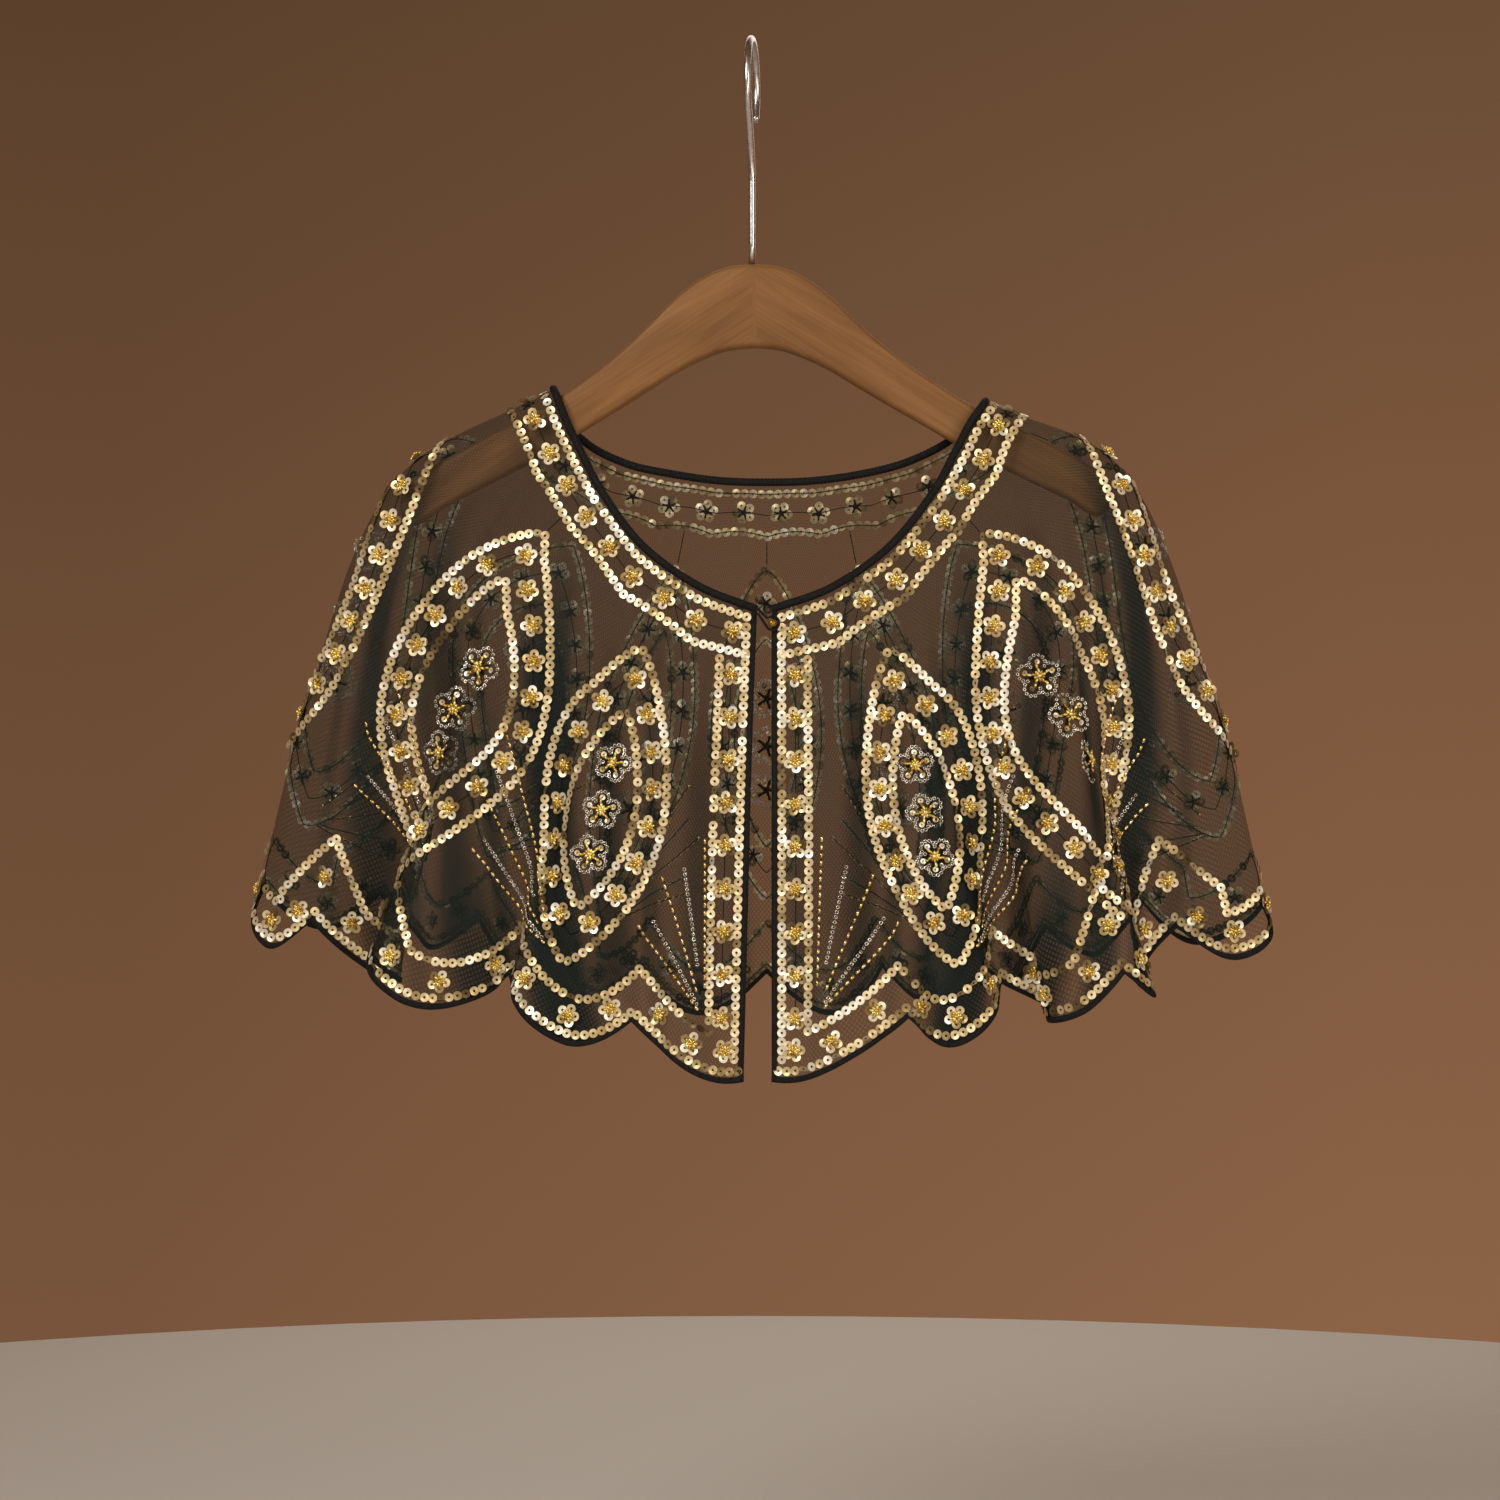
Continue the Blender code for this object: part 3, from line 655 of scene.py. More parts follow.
def bead_string(where, drop, shape, step, size, spread):
    """Seed beads or tiny rings strung along a line."""
    row_where, row_drop = even_places(where, drop, step)
    point, x_axis, y_axis, z_axis = row_frames(row_where, row_drop, STRING_LIFT, 0.0, spread)
    shape.add(point, x_axis * size, y_axis * size, z_axis, RNG.random(len(point)))
    THREADS.append((where, drop, -0.4))


def headings(turns, along, down):
    """Directions in the plane of the net, at angles from along toward down."""
    turns = np.atleast_1d(turns)[:, None]
    return np.cos(turns) * along + np.sin(turns) * down


def flower(where, drop, turn):
    """Five sequins round a centre bead, with gold beads along them and between them."""
    centre, along, down, out = (v[0] for v in frames([where], [drop], ROW_LIFT))
    turns = turn + 2 * math.pi * np.arange(PETALS) / PETALS
    ray = headings(turns, along, down)
    side = np.cross(out, ray)
    axes = tilted(ray, side, out, PETAL_LEAN, 0.10)
    FLOWER_SEQUINS.add(centre + ray * PETAL_REACH + out * 0.35, *axes, RNG.random(PETALS))
    GOLD_BEADS.add(centre + ray * 2.6 + out * 1.5, ray, side, out, RNG.random(PETALS))
    ray = headings(turns + math.pi / PETALS, along, down)
    GOLD_BEADS.add(centre + ray * 1.9 + out * 2.2, ray, np.cross(out, ray), out,
                   RNG.random(PETALS))
    GOLD_BEADS.add(centre + out * 2.9, along * 0.8, down * 1.3, out * 1.3, [0.5])
    FLOWER_STITCHES.add(centre - out * STITCH_DEPTH, ray[0], np.cross(-out, ray[0]), -out, [0.5])


def big_flower(where, drop, turn, size):
    """A larger flower: petals outlined by tiny rings, with beads radiating from the middle."""
    centre, along, down, out = (v[0] for v in frames([where], [drop], ROW_LIFT))
    sweep = np.radians(np.linspace(-RIM_SWEEP, RIM_SWEEP, RIM_RINGS))
    for p in range(PETALS):
        heading = turn + 2 * math.pi * p / PETALS
        ray = headings(heading, along, down)
        side = np.cross(out, ray)
        middle = centre + ray * BIG_PETAL_REACH * size
        rim = middle + headings(sweep, ray, side) * BIG_PETAL_RADIUS * size
        rays = np.repeat(ray, RIM_RINGS, axis=0)
        axes = tilted(rays, np.cross(out, rays), out, 0.0, 0.22)
        SILVER_RINGS.add(rim, *axes, RNG.random(RIM_RINGS))
        x_axis, y_axis, z_axis = tilted(ray, side, out, -0.15, 0.2)
        FLOWER_SEQUINS.add(middle + ray * 0.6 + out * 0.3, x_axis * BIG_SEQUIN,
                           y_axis * BIG_SEQUIN, z_axis, RNG.random(1))
        for reach, rise, swing in BIG_BEADS:
            away = headings(heading + swing, along, down)
            GOLD_BEADS.add(centre + away * reach * size + out * rise, away,
                           np.cross(out, away), out, RNG.random(1))
    GOLD_BEADS.add(centre + out * 2.9, along, down * 1.3, out * 1.3, [0.9])
    FLOWER_STITCHES.add(centre - out * STITCH_DEPTH, along * 1.5, np.cross(-out, along) * 1.5,
                        -out, [0.5])


def flowers_along(where, drop, step, start=0.0, end=0.0):
    """Small flowers at even spacing along a line, with a stitched line through them."""
    row_where, row_drop = even_places(where, drop, step, start, end)
    for k, (w, d) in enumerate(zip(row_where, row_drop)):
        flower(w, d, 0.9 * k + RNG.normal(0, 0.2))
    THREADS.append((where, drop, 0.25))


# The pattern, laid out in the cut: bands at the neck, fronts and hem, leaves, arches and fans


def front_edge(side):
    """Place in the cut of the left (-1) or right (1) front edge."""
    return 0.0 if side < 0 else float(WHOLE)


def on_side(place, mirror):
    """A place that is given for the left side, or its mirror image on the right."""
    return WHOLE - place if mirror else place


def inset(edge_distance, drop, side):
    """Place in the cut of a line that runs beside a front edge, at a distance in mm."""
    drop = np.asarray(drop, dtype=float)
    shift = edge_distance / cut_scale(np.full(drop.shape, front_edge(side)), drop)
    return shift if side < 0 else WHOLE - shift


def front_to_front(edge_distance, drops, count):
    """Places from beside the left front edge to beside the right one, at a drop on each."""
    first, last = (inset(edge_distance, [drop], side)[0] for drop, side in zip(drops, (-1, 1)))
    return np.linspace(first, last, count)


def neck_band():
    for row in NECK_ROWS:
        sequin_row(front_to_front(FRONT_ROWS[0], (row, row), NECK_STEPS), np.full(NECK_STEPS, row))
    where = front_to_front(FRONT_FLOWERS, (NECK_FLOWERS, NECK_FLOWERS), NECK_STEPS)
    flowers_along(where, np.full(NECK_STEPS, NECK_FLOWERS), NECK_FLOWER_STEP)


def front_band(side):
    start = NECK_ROWS[1] + 6.0
    end = drop_at(front_edge(side))
    drop = np.linspace(NECK_ROWS[0] + 6, end - 12.0, BAND_STEPS)
    sequin_row(inset(FRONT_ROWS[0], drop, side), drop)
    drop = np.linspace(start, end - HEM_UPPER - 3, BAND_STEPS)
    sequin_row(inset(FRONT_ROWS[1], drop, side), drop)
    drop = np.linspace(start + 8, end - HEM_UPPER - 6, BAND_STEPS)
    flowers_along(inset(FRONT_FLOWERS, drop, side), drop, FRONT_FLOWER_STEP)


def hem_upper(where):
    """Drop of the hem band's upper row, which rises to a pointed arch over some cusps."""
    drop = drop_at(where) - (HEM_UPPER + 5.0 * (1 - scallop(where)))
    for place in ARCHES:
        peak = drop_at(place) - ARCH_PEAK
        aside = np.abs(where - place) * flat_scale(peak)
        drop = np.where(aside < ARCH_REACH, np.minimum(drop, peak + ARCH_SLOPE * aside), drop)
    return drop


def hem_band():
    where = np.linspace(0.06, WHOLE - 0.06, 3000)
    sequin_row(where, drop_at(where) - HEM_ROW)
    drops = [drop_at(place) - HEM_UPPER for place in (0.3, WHOLE - 0.3)]
    where = front_to_front(FRONT_ROWS[1], drops, 4000)
    sequin_row(where, hem_upper(where))
    for place in ARCHES:
        flower(place, drop_at(place) - ARCH_PEAK + ARCH_FLOWER, 0.4 * place)
    for k in range(WHOLE):
        for part in (0.2, 0.5, 0.8):
            place = k + part
            rise = HEM_FLOWERS + (2.0 if part != 0.5 else 0.0)
            flower(place, drop_at(place) - rise, 1.3 * place)


def leaf_side(place, span, half, low, sway, hand, mirror):
    """One side of a pointed oval, from its tip to its foot, as a line in the cut."""
    tip, foot = span
    s = np.linspace(0, 1, 160)
    drop = tip + (foot - tip) * s
    width = half * np.abs(np.sin(np.pi * s ** low)) ** LEAF_POWER
    where = place - sway * np.sin(2 * np.pi * s) + hand * width / flat_scale(drop)
    return on_side(where, mirror), drop


def leaf(place, tip, foot_height, half, low, sway, big, mirror):
    """A pointed oval of two rows with flowers between them and larger flowers within."""
    foot = drop_at(on_side(place, mirror)) - foot_height
    inner = (tip + INNER_TOP, foot - INNER_FOOT)
    middle = (tip + INNER_TOP * 0.46, foot - INNER_FOOT * 0.5)
    for hand, first, first_flower in ((-1, 1.5, 1.0), (1, 4.5, 24.0)):
        for span, width in (((tip, foot), half), (inner, half - INNER_IN)):
            sequin_row(*leaf_side(place, span, width, low, sway, hand, mirror), first, 3.0)
        line = leaf_side(place, middle, half - INNER_IN * 0.5, low, sway, hand, mirror)
        flowers_along(*line, LEAF_FLOWER_STEP, first_flower, 14.0)
    size = BIG_FLOWER_LEAST + BIG_FLOWER_GROWTH * half
    for share in BIG_FLOWER_AT[:big]:
        where = place - FLOWER_SWAY * sway * math.sin(2 * math.pi * share)
        big_flower(on_side(where, mirror), tip + (foot - tip) * share, 2.1 * share, size)
    stem = np.linspace(NECK_ROWS[1] + 3, tip - 3, 12)
    THREADS.append((np.full(12, on_side(place, mirror)), stem, 0.3))


def leaves():
    for row in LEAVES:
        leaf(*row, False)
        if row[0] != SCALLOPS_PER_SIDE:
            leaf(*row, True)


def flat_ray(where, drop, angle, first, last):
    """A straight line in the flat cut, from a focus, at an angle from the line up to the neck."""
    turn = where * CUT_ANGLE / WHOLE
    reach = np.linspace(first, last, 40)
    around = reach * math.sin(angle)
    along = CUT_INNER + drop - reach * math.cos(angle)
    radius = np.hypot(along, around)
    return (turn + np.arctan2(around, along)) * WHOLE / CUT_ANGLE, radius - CUT_INNER


def fans():
    for place, height, turned in FANS:
        for mirror in (False, True):
            focus = drop_at(on_side(place, mirror)) - height
            for angle, first, last, gold in RAYS:
                where, drop = flat_ray(place, focus, math.radians(angle + turned), first, last)
                string = GOLD_STRING if gold else RING_STRING
                bead_string(on_side(where, mirror), drop, *string)


# Materials


def shader_material(name):
    """A new material with its node tree and its shader."""
    made = bpy.data.materials.new(name)
    made.use_nodes = True
    return made, made.node_tree, made.node_tree.nodes["Principled BSDF"]


def fill(tree, node, values):
    """Fill a node's inputs: a socket is linked, and a constant is set on the input itself."""
    for at, value in values.items():
        if isinstance(value, bpy.types.NodeSocket):
            tree.links.new(value, node.inputs[at])
        else:
            node.inputs[at].default_value = value


def added(tree, kind, values=None):
    """A new node of a kind, with its inputs filled."""
    made = tree.nodes.new(kind)
    fill(tree, made, values or {})
    return made


def maths(tree, operation, *values):
    """The result of one step of arithmetic on sockets and numbers."""
    made = added(tree, "ShaderNodeMath", dict(enumerate(values)))
    made.operation = operation
    return made.outputs["Value"]


def ranged(tree, value, low, high, least=0.0, most=1.0):
    """A value between least and most, spread over low to high."""
    return added(tree, "ShaderNodeMapRange", {
        "Value": value, "From Min": least, "From Max": most, "To Min": low, "To Max": high,
    }).outputs["Result"]


def ramp(tree, value, stops):
    """A colour that follows a value. Each stop is a value and its colour."""
    made = added(tree, "ShaderNodeValToRGB", {"Fac": value})
    elements = made.color_ramp.elements
    while len(elements) < len(stops):
        elements.new(0.5)
    for element, (at, colour) in zip(elements, stops):
        element.position = at
        element.color = (*colour, 1.0)
    return made.outputs["Color"]


def noise(tree, place, scale, detail=2.0):
    """Soft unevenness at a scale, read at a place."""
    return added(tree, "ShaderNodeTexNoise", {
        "Vector": place, "Scale": scale, "Detail": detail}).outputs["Fac"]


def spotted(tree, scale):
    """Soft unevenness over the piece itself."""
    return noise(tree, added(tree, "ShaderNodeTexCoord").outputs["Object"], scale)


def grain(tree, scale, detail=2.0):
    """Unevenness stretched along the unwrapped surface."""
    laid = added(tree, "ShaderNodeUVMap").outputs["UV"]
    drawn = added(tree, "ShaderNodeMapping", {"Vector": laid, "Scale": scale})
    return noise(tree, drawn.outputs["Vector"], 1.0, detail)


def bumps(tree, height, strength, distance):
    """Normals of fine bumps, with their distance in metres."""
    return added(tree, "ShaderNodeBump", {
        "Height": height, "Strength": strength, "Distance": distance}).outputs["Normal"]


def tone(tree):
    """The tone that a mesh carries: each copy's own, or how dense the net is."""
    made = added(tree, "ShaderNodeAttribute")
    made.attribute_name = "tone"
    return made.outputs["Fac"]


def toned_metal(name, stops, roughness, metallic):
    """A metal whose colour follows each copy's tone, with fine unevenness."""
    made, tree, shader = shader_material(name)
    uneven = spotted(tree, 900.0)
    fill(tree, shader, {
        "Base Color": ramp(tree, tone(tree), stops),
        "Roughness": ranged(tree, uneven, roughness * 0.7, roughness * 1.4),
        "Metallic": metallic,
        "Normal": bumps(tree, uneven, 0.15, 0.0002),
    })
    return made


def net_material():
    """Fine black tulle: thread along two slanting directions, sheer between."""
    made, tree, shader = shader_material("net_tulle")
    laid = added(tree, "ShaderNodeUVMap").outputs["UV"]
    parts = added(tree, "ShaderNodeSeparateXYZ", {"Vector": laid}).outputs
    waves = []
    for slant in (MESH_SLANT, -MESH_SLANT):
        across = maths(tree, "MULTIPLY_ADD", parts["Y"], slant, parts["X"])
        turn = maths(tree, "MULTIPLY", across, 2 * math.pi / MESH_PERIOD)
        waves.append(maths(tree, "COSINE", turn))
    mesh = ranged(tree, maths(tree, "MAXIMUM", *waves), MESH_SHEER, MESH_THREAD, -0.2, 1.0)
    cloudy = spotted(tree, 60.0)
    mottled = maths(tree, "MULTIPLY_ADD", cloudy, 0.10, mesh)
    opaque = maths(tree, "MULTIPLY_ADD", tone(tree), GATHER_OPAQUE, mottled)
    opaque.node.use_clamp = True
    colour = ramp(tree, cloudy, ((0.3, (0.009, 0.016, 0.013)), (0.7, (0.015, 0.024, 0.020))))
    # Painted shade: the net's colour is darkened where it is gathered, for the shade in its folds
    light = maths(tree, "MULTIPLY_ADD", tone(tree), -GATHER_PAINTED_SHADE, 1.0)
    shade = added(tree, "ShaderNodeVectorMath")
    shade.operation = "SCALE"
    fill(tree, shade, {0: colour, "Scale": light})
    fill(tree, shader, {
        "Base Color": shade.outputs["Vector"], "Alpha": opaque,
        "Roughness": 0.7, "Specular IOR Level": 0.15,
    })
    return made


def cord_material():
    """Black sewn thread: matt, with fine fluff."""
    made, tree, shader = shader_material("black_cord")
    fluff = spotted(tree, 700.0)
    colours = ((0.3, (0.003, 0.003, 0.003)), (0.75, (0.012, 0.012, 0.011)))
    fill(tree, shader, {
        "Base Color": ramp(tree, fluff, colours), "Normal": bumps(tree, fluff, 0.6, 0.0004),
        "Roughness": 0.8, "Specular IOR Level": 0.2,
    })
    return made


def wood_material():
    """Varnished mid-brown wood: long grain that follows each arm, fine pores."""
    made, tree, shader = shader_material("hanger_wood_grain")
    fine = grain(tree, (22.0, 620.0, 1.0), 6.0)
    broad = grain(tree, (12.0, 70.0, 1.0))
    mixed = maths(tree, "MULTIPLY_ADD", broad, 0.6, maths(tree, "MULTIPLY", fine, 0.4))
    colours = (
        (0.30, (0.140, 0.058, 0.016)), (0.48, (0.200, 0.090, 0.026)),
        (0.60, (0.240, 0.113, 0.034)), (0.75, (0.285, 0.141, 0.045)),
    )
    fill(tree, shader, {
        "Base Color": ramp(tree, mixed, colours), "Normal": bumps(tree, fine, 0.08, 0.0003),
        "Roughness": 0.55, "Specular IOR Level": 0.28,
    })
    return made


def steel_material():
    """Plated wire, a little uneven."""
    made, tree, shader = shader_material("hook_steel")
    uneven = spotted(tree, 400.0)
    colours = ((0.3, (0.52, 0.51, 0.49)), (0.7, (0.70, 0.69, 0.67)))
    fill(tree, shader, {
        "Base Color": ramp(tree, uneven, colours), "Metallic": 1.0,
        "Roughness": ranged(tree, uneven, 0.2, 0.4),
    })
    return made


# Large pieces


def net_piece(mat):
    """The whole net as one sheet, from under the piping to the edgings."""
    lines = NET_LINES * WHOLE + 1
    places = np.linspace(0, WHOLE, lines)
    top = NET_TOP / drop_at(places)[:, None]
    bottom = 1 - NET_FOOT / drop_at(places)[:, None]
    share = (top + (bottom - top) * np.linspace(0, 1, NET_ROWS)).ravel()
    where = np.repeat(places, NET_ROWS)
    faces = [
        (i * NET_ROWS + j, i * NET_ROWS + j + 1, (i + 1) * NET_ROWS + j + 1, (i + 1) * NET_ROWS + j)
        for i in range(lines - 1) for j in range(NET_ROWS - 1)
    ]
    uv = np.stack([where * MESH_SCALE, share * drop_at(where)], axis=1)
    piece = mesh_piece("net", cloth(where, share)[0], faces, mat, "net",
                       creases(where, share)[1], uv)
    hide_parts("net_front_left", "net_back", "net_front_right")
    return piece


def tube(path, radius, sides, twist=0.0, ridge=0.0):
    """Points and faces of a round bar along a path, with two slanting ridges if asked."""
    path = np.asarray(path, dtype=float)
    headed = unit(np.gradient(path, axis=0))
    across = np.cross(headed[0], (0.3, 0.5, 0.8))
    turns = 2 * math.pi * np.arange(sides)[:, None] / sides
    points = []
    for here, ahead, run in zip(path, headed, run_along(path)):
        across = across - ahead * across.dot(ahead)
        across /= np.linalg.norm(across)
        other = np.cross(ahead, across)
        reach = radius * (1 + ridge * np.cos(2 * turns + twist * run))
        points.extend(here + (across * np.cos(turns) + other * np.sin(turns)) * reach)
    return points, bar_faces(len(path), sides)


def piping_piece(mat):
    """The round cord at the neck, with the ridges of its wrapping."""
    path = drape(np.linspace(0, WHOLE, PIPING_STEPS), 0.0)
    piece = mesh_piece("piping", *tube(path, PIPING_RADIUS, 12, 2.6, 0.06), mat, "cord")
    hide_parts("neck_piping")
    return piece


def edging_piece(name, where, share, replaced, mat):
    """A flat edging: a soft rounded strip between an inner and an outer line on the drape.

    where and share each hold two rows, the inner line's and the outer line's.
    """
    section = ((0.0, 0.0), (0.12, 0.42), (0.5, 0.5), (0.88, 0.42),
               (1.0, 0.0), (0.88, -0.42), (0.5, -0.5), (0.12, -0.42))
    points = []
    steps = np.arange(len(share[0]))
    for part, height in section:
        ridge = 1 + 0.10 * np.cos(steps * 1.9 + part * 6)
        spot, normal = cloth(where[0] + (where[1] - where[0]) * part,
                             share[0] + (share[1] - share[0]) * part)
        points.append(spot + normal * (EDGING_WALL * height * ridge)[:, None])
    rings = np.stack(points, axis=1)
    faces = bar_faces(len(rings), len(section))
    piece = mesh_piece(name, rings.reshape(-1, 3), faces, mat, "cord")
    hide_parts(replaced)
    return piece


def edgings(mat):
    """The edging along the scallops, and one down each front edge."""
    where = np.linspace(0, WHOLE, HEM_STEPS)
    share = (1 - EDGING_WIDTH / drop_at(where), np.ones(HEM_STEPS))
    made = [edging_piece("hem_edging", (where, where), share, "hem_binding", mat)]
    for side, hand in ((-1, "left"), (1, "right")):
        length = drop_at(front_edge(side))
        drop = np.linspace(2.0, length - 1.5, FRONT_STEPS)
        where = (np.full(FRONT_STEPS, front_edge(side)), inset(EDGING_WIDTH, drop, side))
        share = (drop / length, drop / length)
        made.append(edging_piece("front_edging_" + hand, where, share,
                                 "front_binding_" + hand, mat))
    return made


def embroidery(mat):
    """All the black stitched lines, as one joined piece."""
    points = []
    faces = []
    for where, drop, lift in THREADS:
        where, drop = even_places(where, drop, THREAD_STEP)
        if len(where) < 3:
            continue
        path = cloth(where, drop / drop_at(where), lift)[0]
        made, made_faces = tube(path, THREAD_RADIUS, 3)
        base = len(points)
        points.extend(made)
        faces.extend(tuple(i + base for i in face) for face in made_faces)
    return mesh_piece("embroidery", points, faces, mat, "cord")


def arm_stations():
    """Along an arm from its middle to its tip: distances, top edges and lower edges."""
    outline = np.array(WOOD_OUTLINE)
    start, high, low = outline[-1]
    plain = np.linspace(0, start, ARM_STEPS)
    edges = smooth_read((outline[:, 0], outline[:, 1:]), plain)
    knots = np.array([(start, high), *ARM_END, (start, low)])
    curve = smooth_read((np.arange(float(len(knots))), knots), np.linspace(0, len(knots) - 1, 40))
    reach = max(row[0] for row in ARM_END)
    slowing = np.sin(np.linspace(0, 1, TIP_STEPS + 1)[1:] * math.pi / 2)
    tip = start + (reach - start) * slowing
    split = int(np.argmax(curve[:, 0]))
    upper = curve[:split + 1]
    lower = curve[split:][::-1]
    tops = np.concatenate([edges[:, 0], np.interp(tip, upper[:, 0], upper[:, 1])])
    lows = np.concatenate([edges[:, 1], np.interp(tip, lower[:, 0], lower[:, 1])])
    lows[-1] = min(lows[-1], tops[-1] - 0.4)
    return np.concatenate([plain, tip]), tops, lows


def wood_piece(mat):
    """The hanger's wooden body, smooth, with rounded edges and grain along each arm."""
    section = []
    for corner in range(4):
        for k in range(6):
            turn = math.pi / 2 * (corner + k / 5)
            section.append((1 if corner in (0, 3) else -1, 1 if corner < 2 else -1,
                            math.cos(turn), math.sin(turn)))
    distance, tops, lows = arm_stations()
    stations = [(-x, high, low) for x, high, low in zip(distance, tops, lows)][:0:-1]
    stations.extend(zip(distance, tops, lows))
    points = []
    uv = []
    for x, high, low in stations:
        middle = (high + low) / 2
        tall = (high - low) / 2
        thick = WOOD_THICKNESS / 2 * (0.6 + 0.4 * min(1.0, tall / 8.0))
        edge = min(WOOD_EDGE, 0.95 * tall, 0.95 * thick)
        scale, shift = (1.0, 0.0) if x > 0 else (1.3, 5.0)
        for side, level, across, up in section:
            z = middle + level * (tall - edge) + up * edge
            y = side * (thick - edge) + across * edge
            dz = z - WOOD_TOP
            points.append((x * math.cos(WOOD_TILT) - dz * math.sin(WOOD_TILT), y,
                           WOOD_TOP + dz * math.cos(WOOD_TILT) + x * math.sin(WOOD_TILT)))
            uv.append((abs(x) * MM * scale + shift, (z + ARM_SLOPE * abs(x) + y) * MM))
    faces = bar_faces(len(stations), len(section))
    piece = mesh_piece("wooden_body", points, faces, mat, "wood", uv=uv)
    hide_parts("hanger_wood")


def hook_piece(mat):
    """The steel hook, finer than the solid, on the same path."""
    bend = HOOK_INSIDE_RADIUS + WIRE_RADIUS
    centre_z = WIRE_RADIUS - bend
    flat = [(0.0, WOOD_TOP + SEAM_GAP), (0.0, -120.0), (0.0, -108.0), (0.0, -96.0)]
    leave = np.array((-math.sin(HOOK_BEND_FROM), math.cos(HOOK_BEND_FROM)))
    first = np.array((0.0, HOOK_SWING_START))
    last = np.array((bend * math.cos(HOOK_BEND_FROM), centre_z + bend * math.sin(HOOK_BEND_FROM)))
    ctrl_a = first + np.array((0.0, HOOK_SWING_PULL))
    ctrl_b = last + leave * HOOK_BEND_PULL
    for s in np.linspace(0, 1, 26)[:-1]:
        flat.append(first * (1 - s)**3 + ctrl_a * 3 * s * (1 - s)**2
                    + ctrl_b * 3 * s**2 * (1 - s) + last * s**3)
    for turn in np.linspace(HOOK_BEND_FROM, HOOK_BEND_TO, 70):
        flat.append((bend * math.cos(turn), centre_z + bend * math.sin(turn)))
    path = [(y * math.sin(HOOK_TURN), y * math.cos(HOOK_TURN), z) for y, z in flat]
    piece = mesh_piece("steel_hook", *tube(path, WIRE_RADIUS, 20), mat, "steel")
    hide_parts("hanger_hook")


def closure_bead(mat):
    """The round bead in the thread loop at the neck."""
    low, high = (Vector(corner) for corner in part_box("closure_bead"))
    build = bmesh.new()
    bmesh.ops.create_icosphere(build, subdivisions=3, radius=(high.x - low.x) / 2)
    bmesh.ops.translate(build, verts=build.verts, vec=(low + high) / 2)
    bead = built_object("neck_bead", build, mat)
    bead.data.shade_smooth()
    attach(bead, "root")
    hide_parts("closure_bead")


def floor_piece():
    """A plain pale floor, well below the hem."""
    made, tree, shader = shader_material("floor_pale")
    fill(tree, shader, {"Base Color": (0.62, 0.58, 0.53, 1), "Roughness": 0.85})
    build = bmesh.new()
    bmesh.ops.create_circle(build, cap_ends=True, segments=96, radius=1.6)
    bmesh.ops.translate(build, verts=build.verts, vec=(0, 0, FLOOR_LEVEL))
    built_object("floor", build, made)


def air():
    """The air's tone behind the part: a brown that pales downward and to the right."""
    world = bpy.data.worlds.new("air")
    world.use_nodes = True
    tree = world.node_tree
    way = added(tree, "ShaderNodeTexCoord").outputs["Generated"]
    parts = added(tree, "ShaderNodeSeparateXYZ", {"Vector": way}).outputs
    colours = ((0.0, (0.228, 0.112, 0.056)), (0.5, (0.180, 0.086, 0.042)),
               (1.0, (0.118, 0.060, 0.029)))
    fill(tree, tree.nodes["Background"], {
        "Color": ramp(tree, ranged(tree, parts["Z"], 0.0, 1.0, -0.2, 0.2), colours),
        "Strength": ranged(tree, parts["X"], 0.86, 1.20, -0.16, 0.16),
    })
    bpy.context.scene.world = world


def lamps():
    """The soft studio lights, all aimed at the middle of the cape."""
    for name, place, size, power, colour in LAMPS:
        data = bpy.data.lights.new(name, "AREA")
        data.size = size
        data.energy = power
        data.color = colour
        lamp = linked(name, data)
        lamp.location = place
        target = Vector((0, 0, -0.42)) - Vector(place)
        lamp.rotation_euler = target.to_track_quat("-Z", "Y").to_euler()


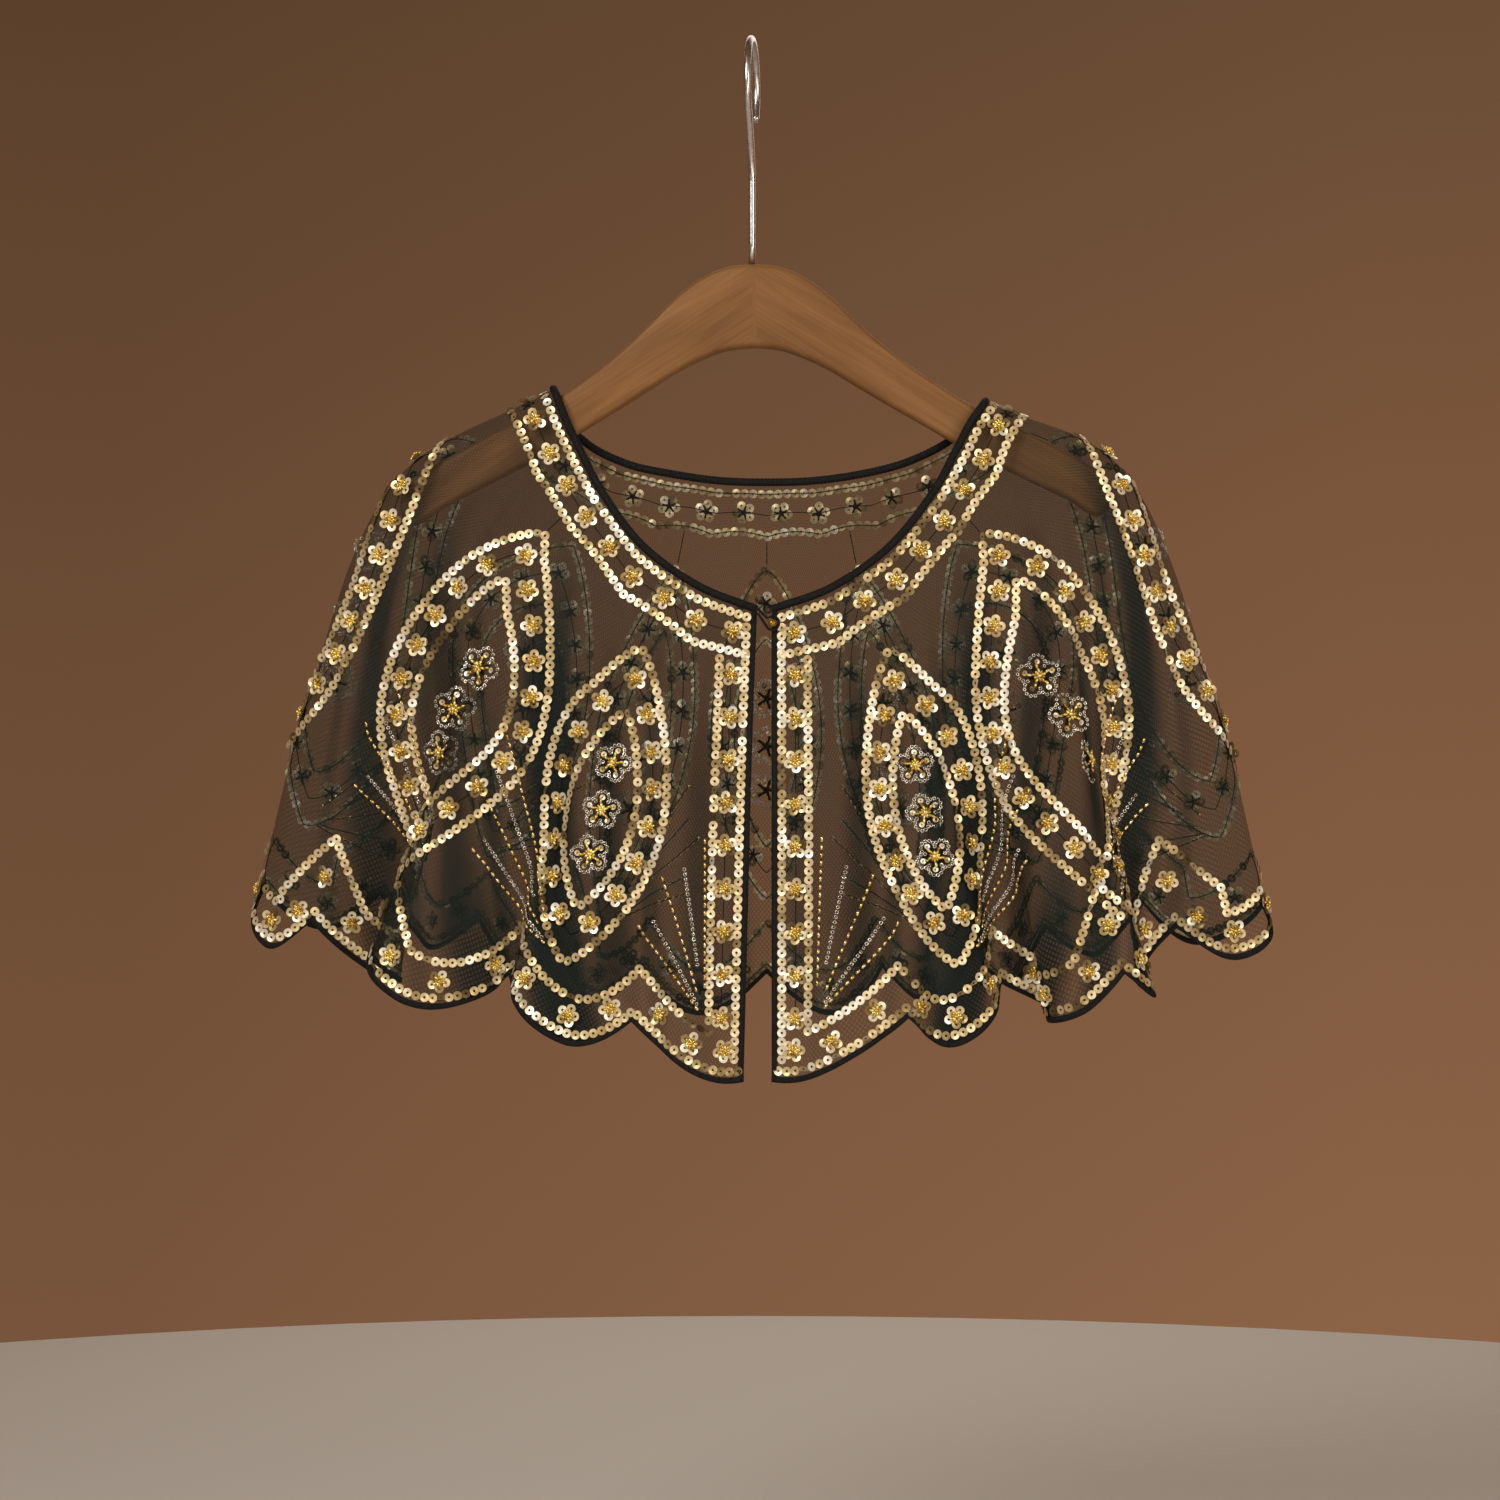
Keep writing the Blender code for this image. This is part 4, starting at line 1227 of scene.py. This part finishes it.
def place_camera():
    """A level camera at the photo's angle, whose frame matches the photo's scale."""
    data = bpy.data.cameras.new("camera")
    data.sensor_width = SENSOR
    data.lens = SENSOR * CAMERA_DISTANCE / (IMAGE_SIDE * MM_PER_PIXEL)
    camera = linked("camera", data)
    middle = IMAGE_SIDE / 2
    camera.location = (
        (middle - HANGER_PIXEL_X) * MM_PER_PIXEL * MM,
        -CAMERA_DISTANCE * MM,
        (ORIGIN_PIXEL_Y - middle) * MM_PER_PIXEL * MM,
    )
    camera.rotation_euler = (math.radians(90), 0, 0)
    bpy.context.scene.camera = camera


def main():
    net_mat = net_material()
    cord_mat = cord_material()
    # Pale gold sequins: the ramp runs from dark bronze to near white, partly the sequins' own uneven
    # colour, partly painted shade and painted glints
    pale_gold = toned_metal("pale_gold_sequin", (
        (0.0, (0.13, 0.085, 0.035)), (0.2, (0.42, 0.31, 0.13)), (0.42, (0.72, 0.58, 0.31)),
        (0.72, (0.86, 0.75, 0.49)), (0.86, (0.98, 0.93, 0.76))), 0.36, 0.55)
    deep_gold = toned_metal("deep_gold_bead", (
        (0.0, (0.34, 0.19, 0.02)), (0.5, (0.72, 0.50, 0.10)),
        (1.0, (0.98, 0.80, 0.30))), 0.2, 0.7)
    seed_gold = toned_metal("seed_gold", (
        (0.0, (0.55, 0.34, 0.08)), (1.0, (0.92, 0.72, 0.34))), 0.2, 0.85)
    silver = toned_metal("silvery_ring", (
        (0.0, (0.50, 0.46, 0.38)), (1.0, (0.92, 0.88, 0.78))), 0.22, 0.8)

    net = net_piece(net_mat)
    sewn = [piping_piece(cord_mat), *edgings(cord_mat)]
    neck_band()
    hem_band()
    for side in (-1, 1):
        front_band(side)
    leaves()
    fans()
    sewn += [
        embroidery(cord_mat),
        ROW_SEQUINS.build("row_sequins", pale_gold, "gold"),
        FLOWER_SEQUINS.build("flower_sequins", pale_gold, "gold"),
        GOLD_BEADS.build("flower_beads", deep_gold, "gold"),
        SEED_BEADS.build("bead_strings", seed_gold, "gold"),
        SILVER_RINGS.build("silver_rings", silver, "gold"),
        FLOWER_STITCHES.build("flower_stitches", cord_mat, "cord"),
    ]
    wood_piece(wood_material())
    hook_piece(steel_material())
    closure_bead(deep_gold)
    for material_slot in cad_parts["closure_loop"].material_slots:
        material_slot.material = cord_mat
    floor_piece()
    air()
    lamps()
    place_camera()
    bpy.context.scene.cycles.transparent_max_bounces = 32
    bpy.context.scene.view_settings.view_transform = "Standard"


main()
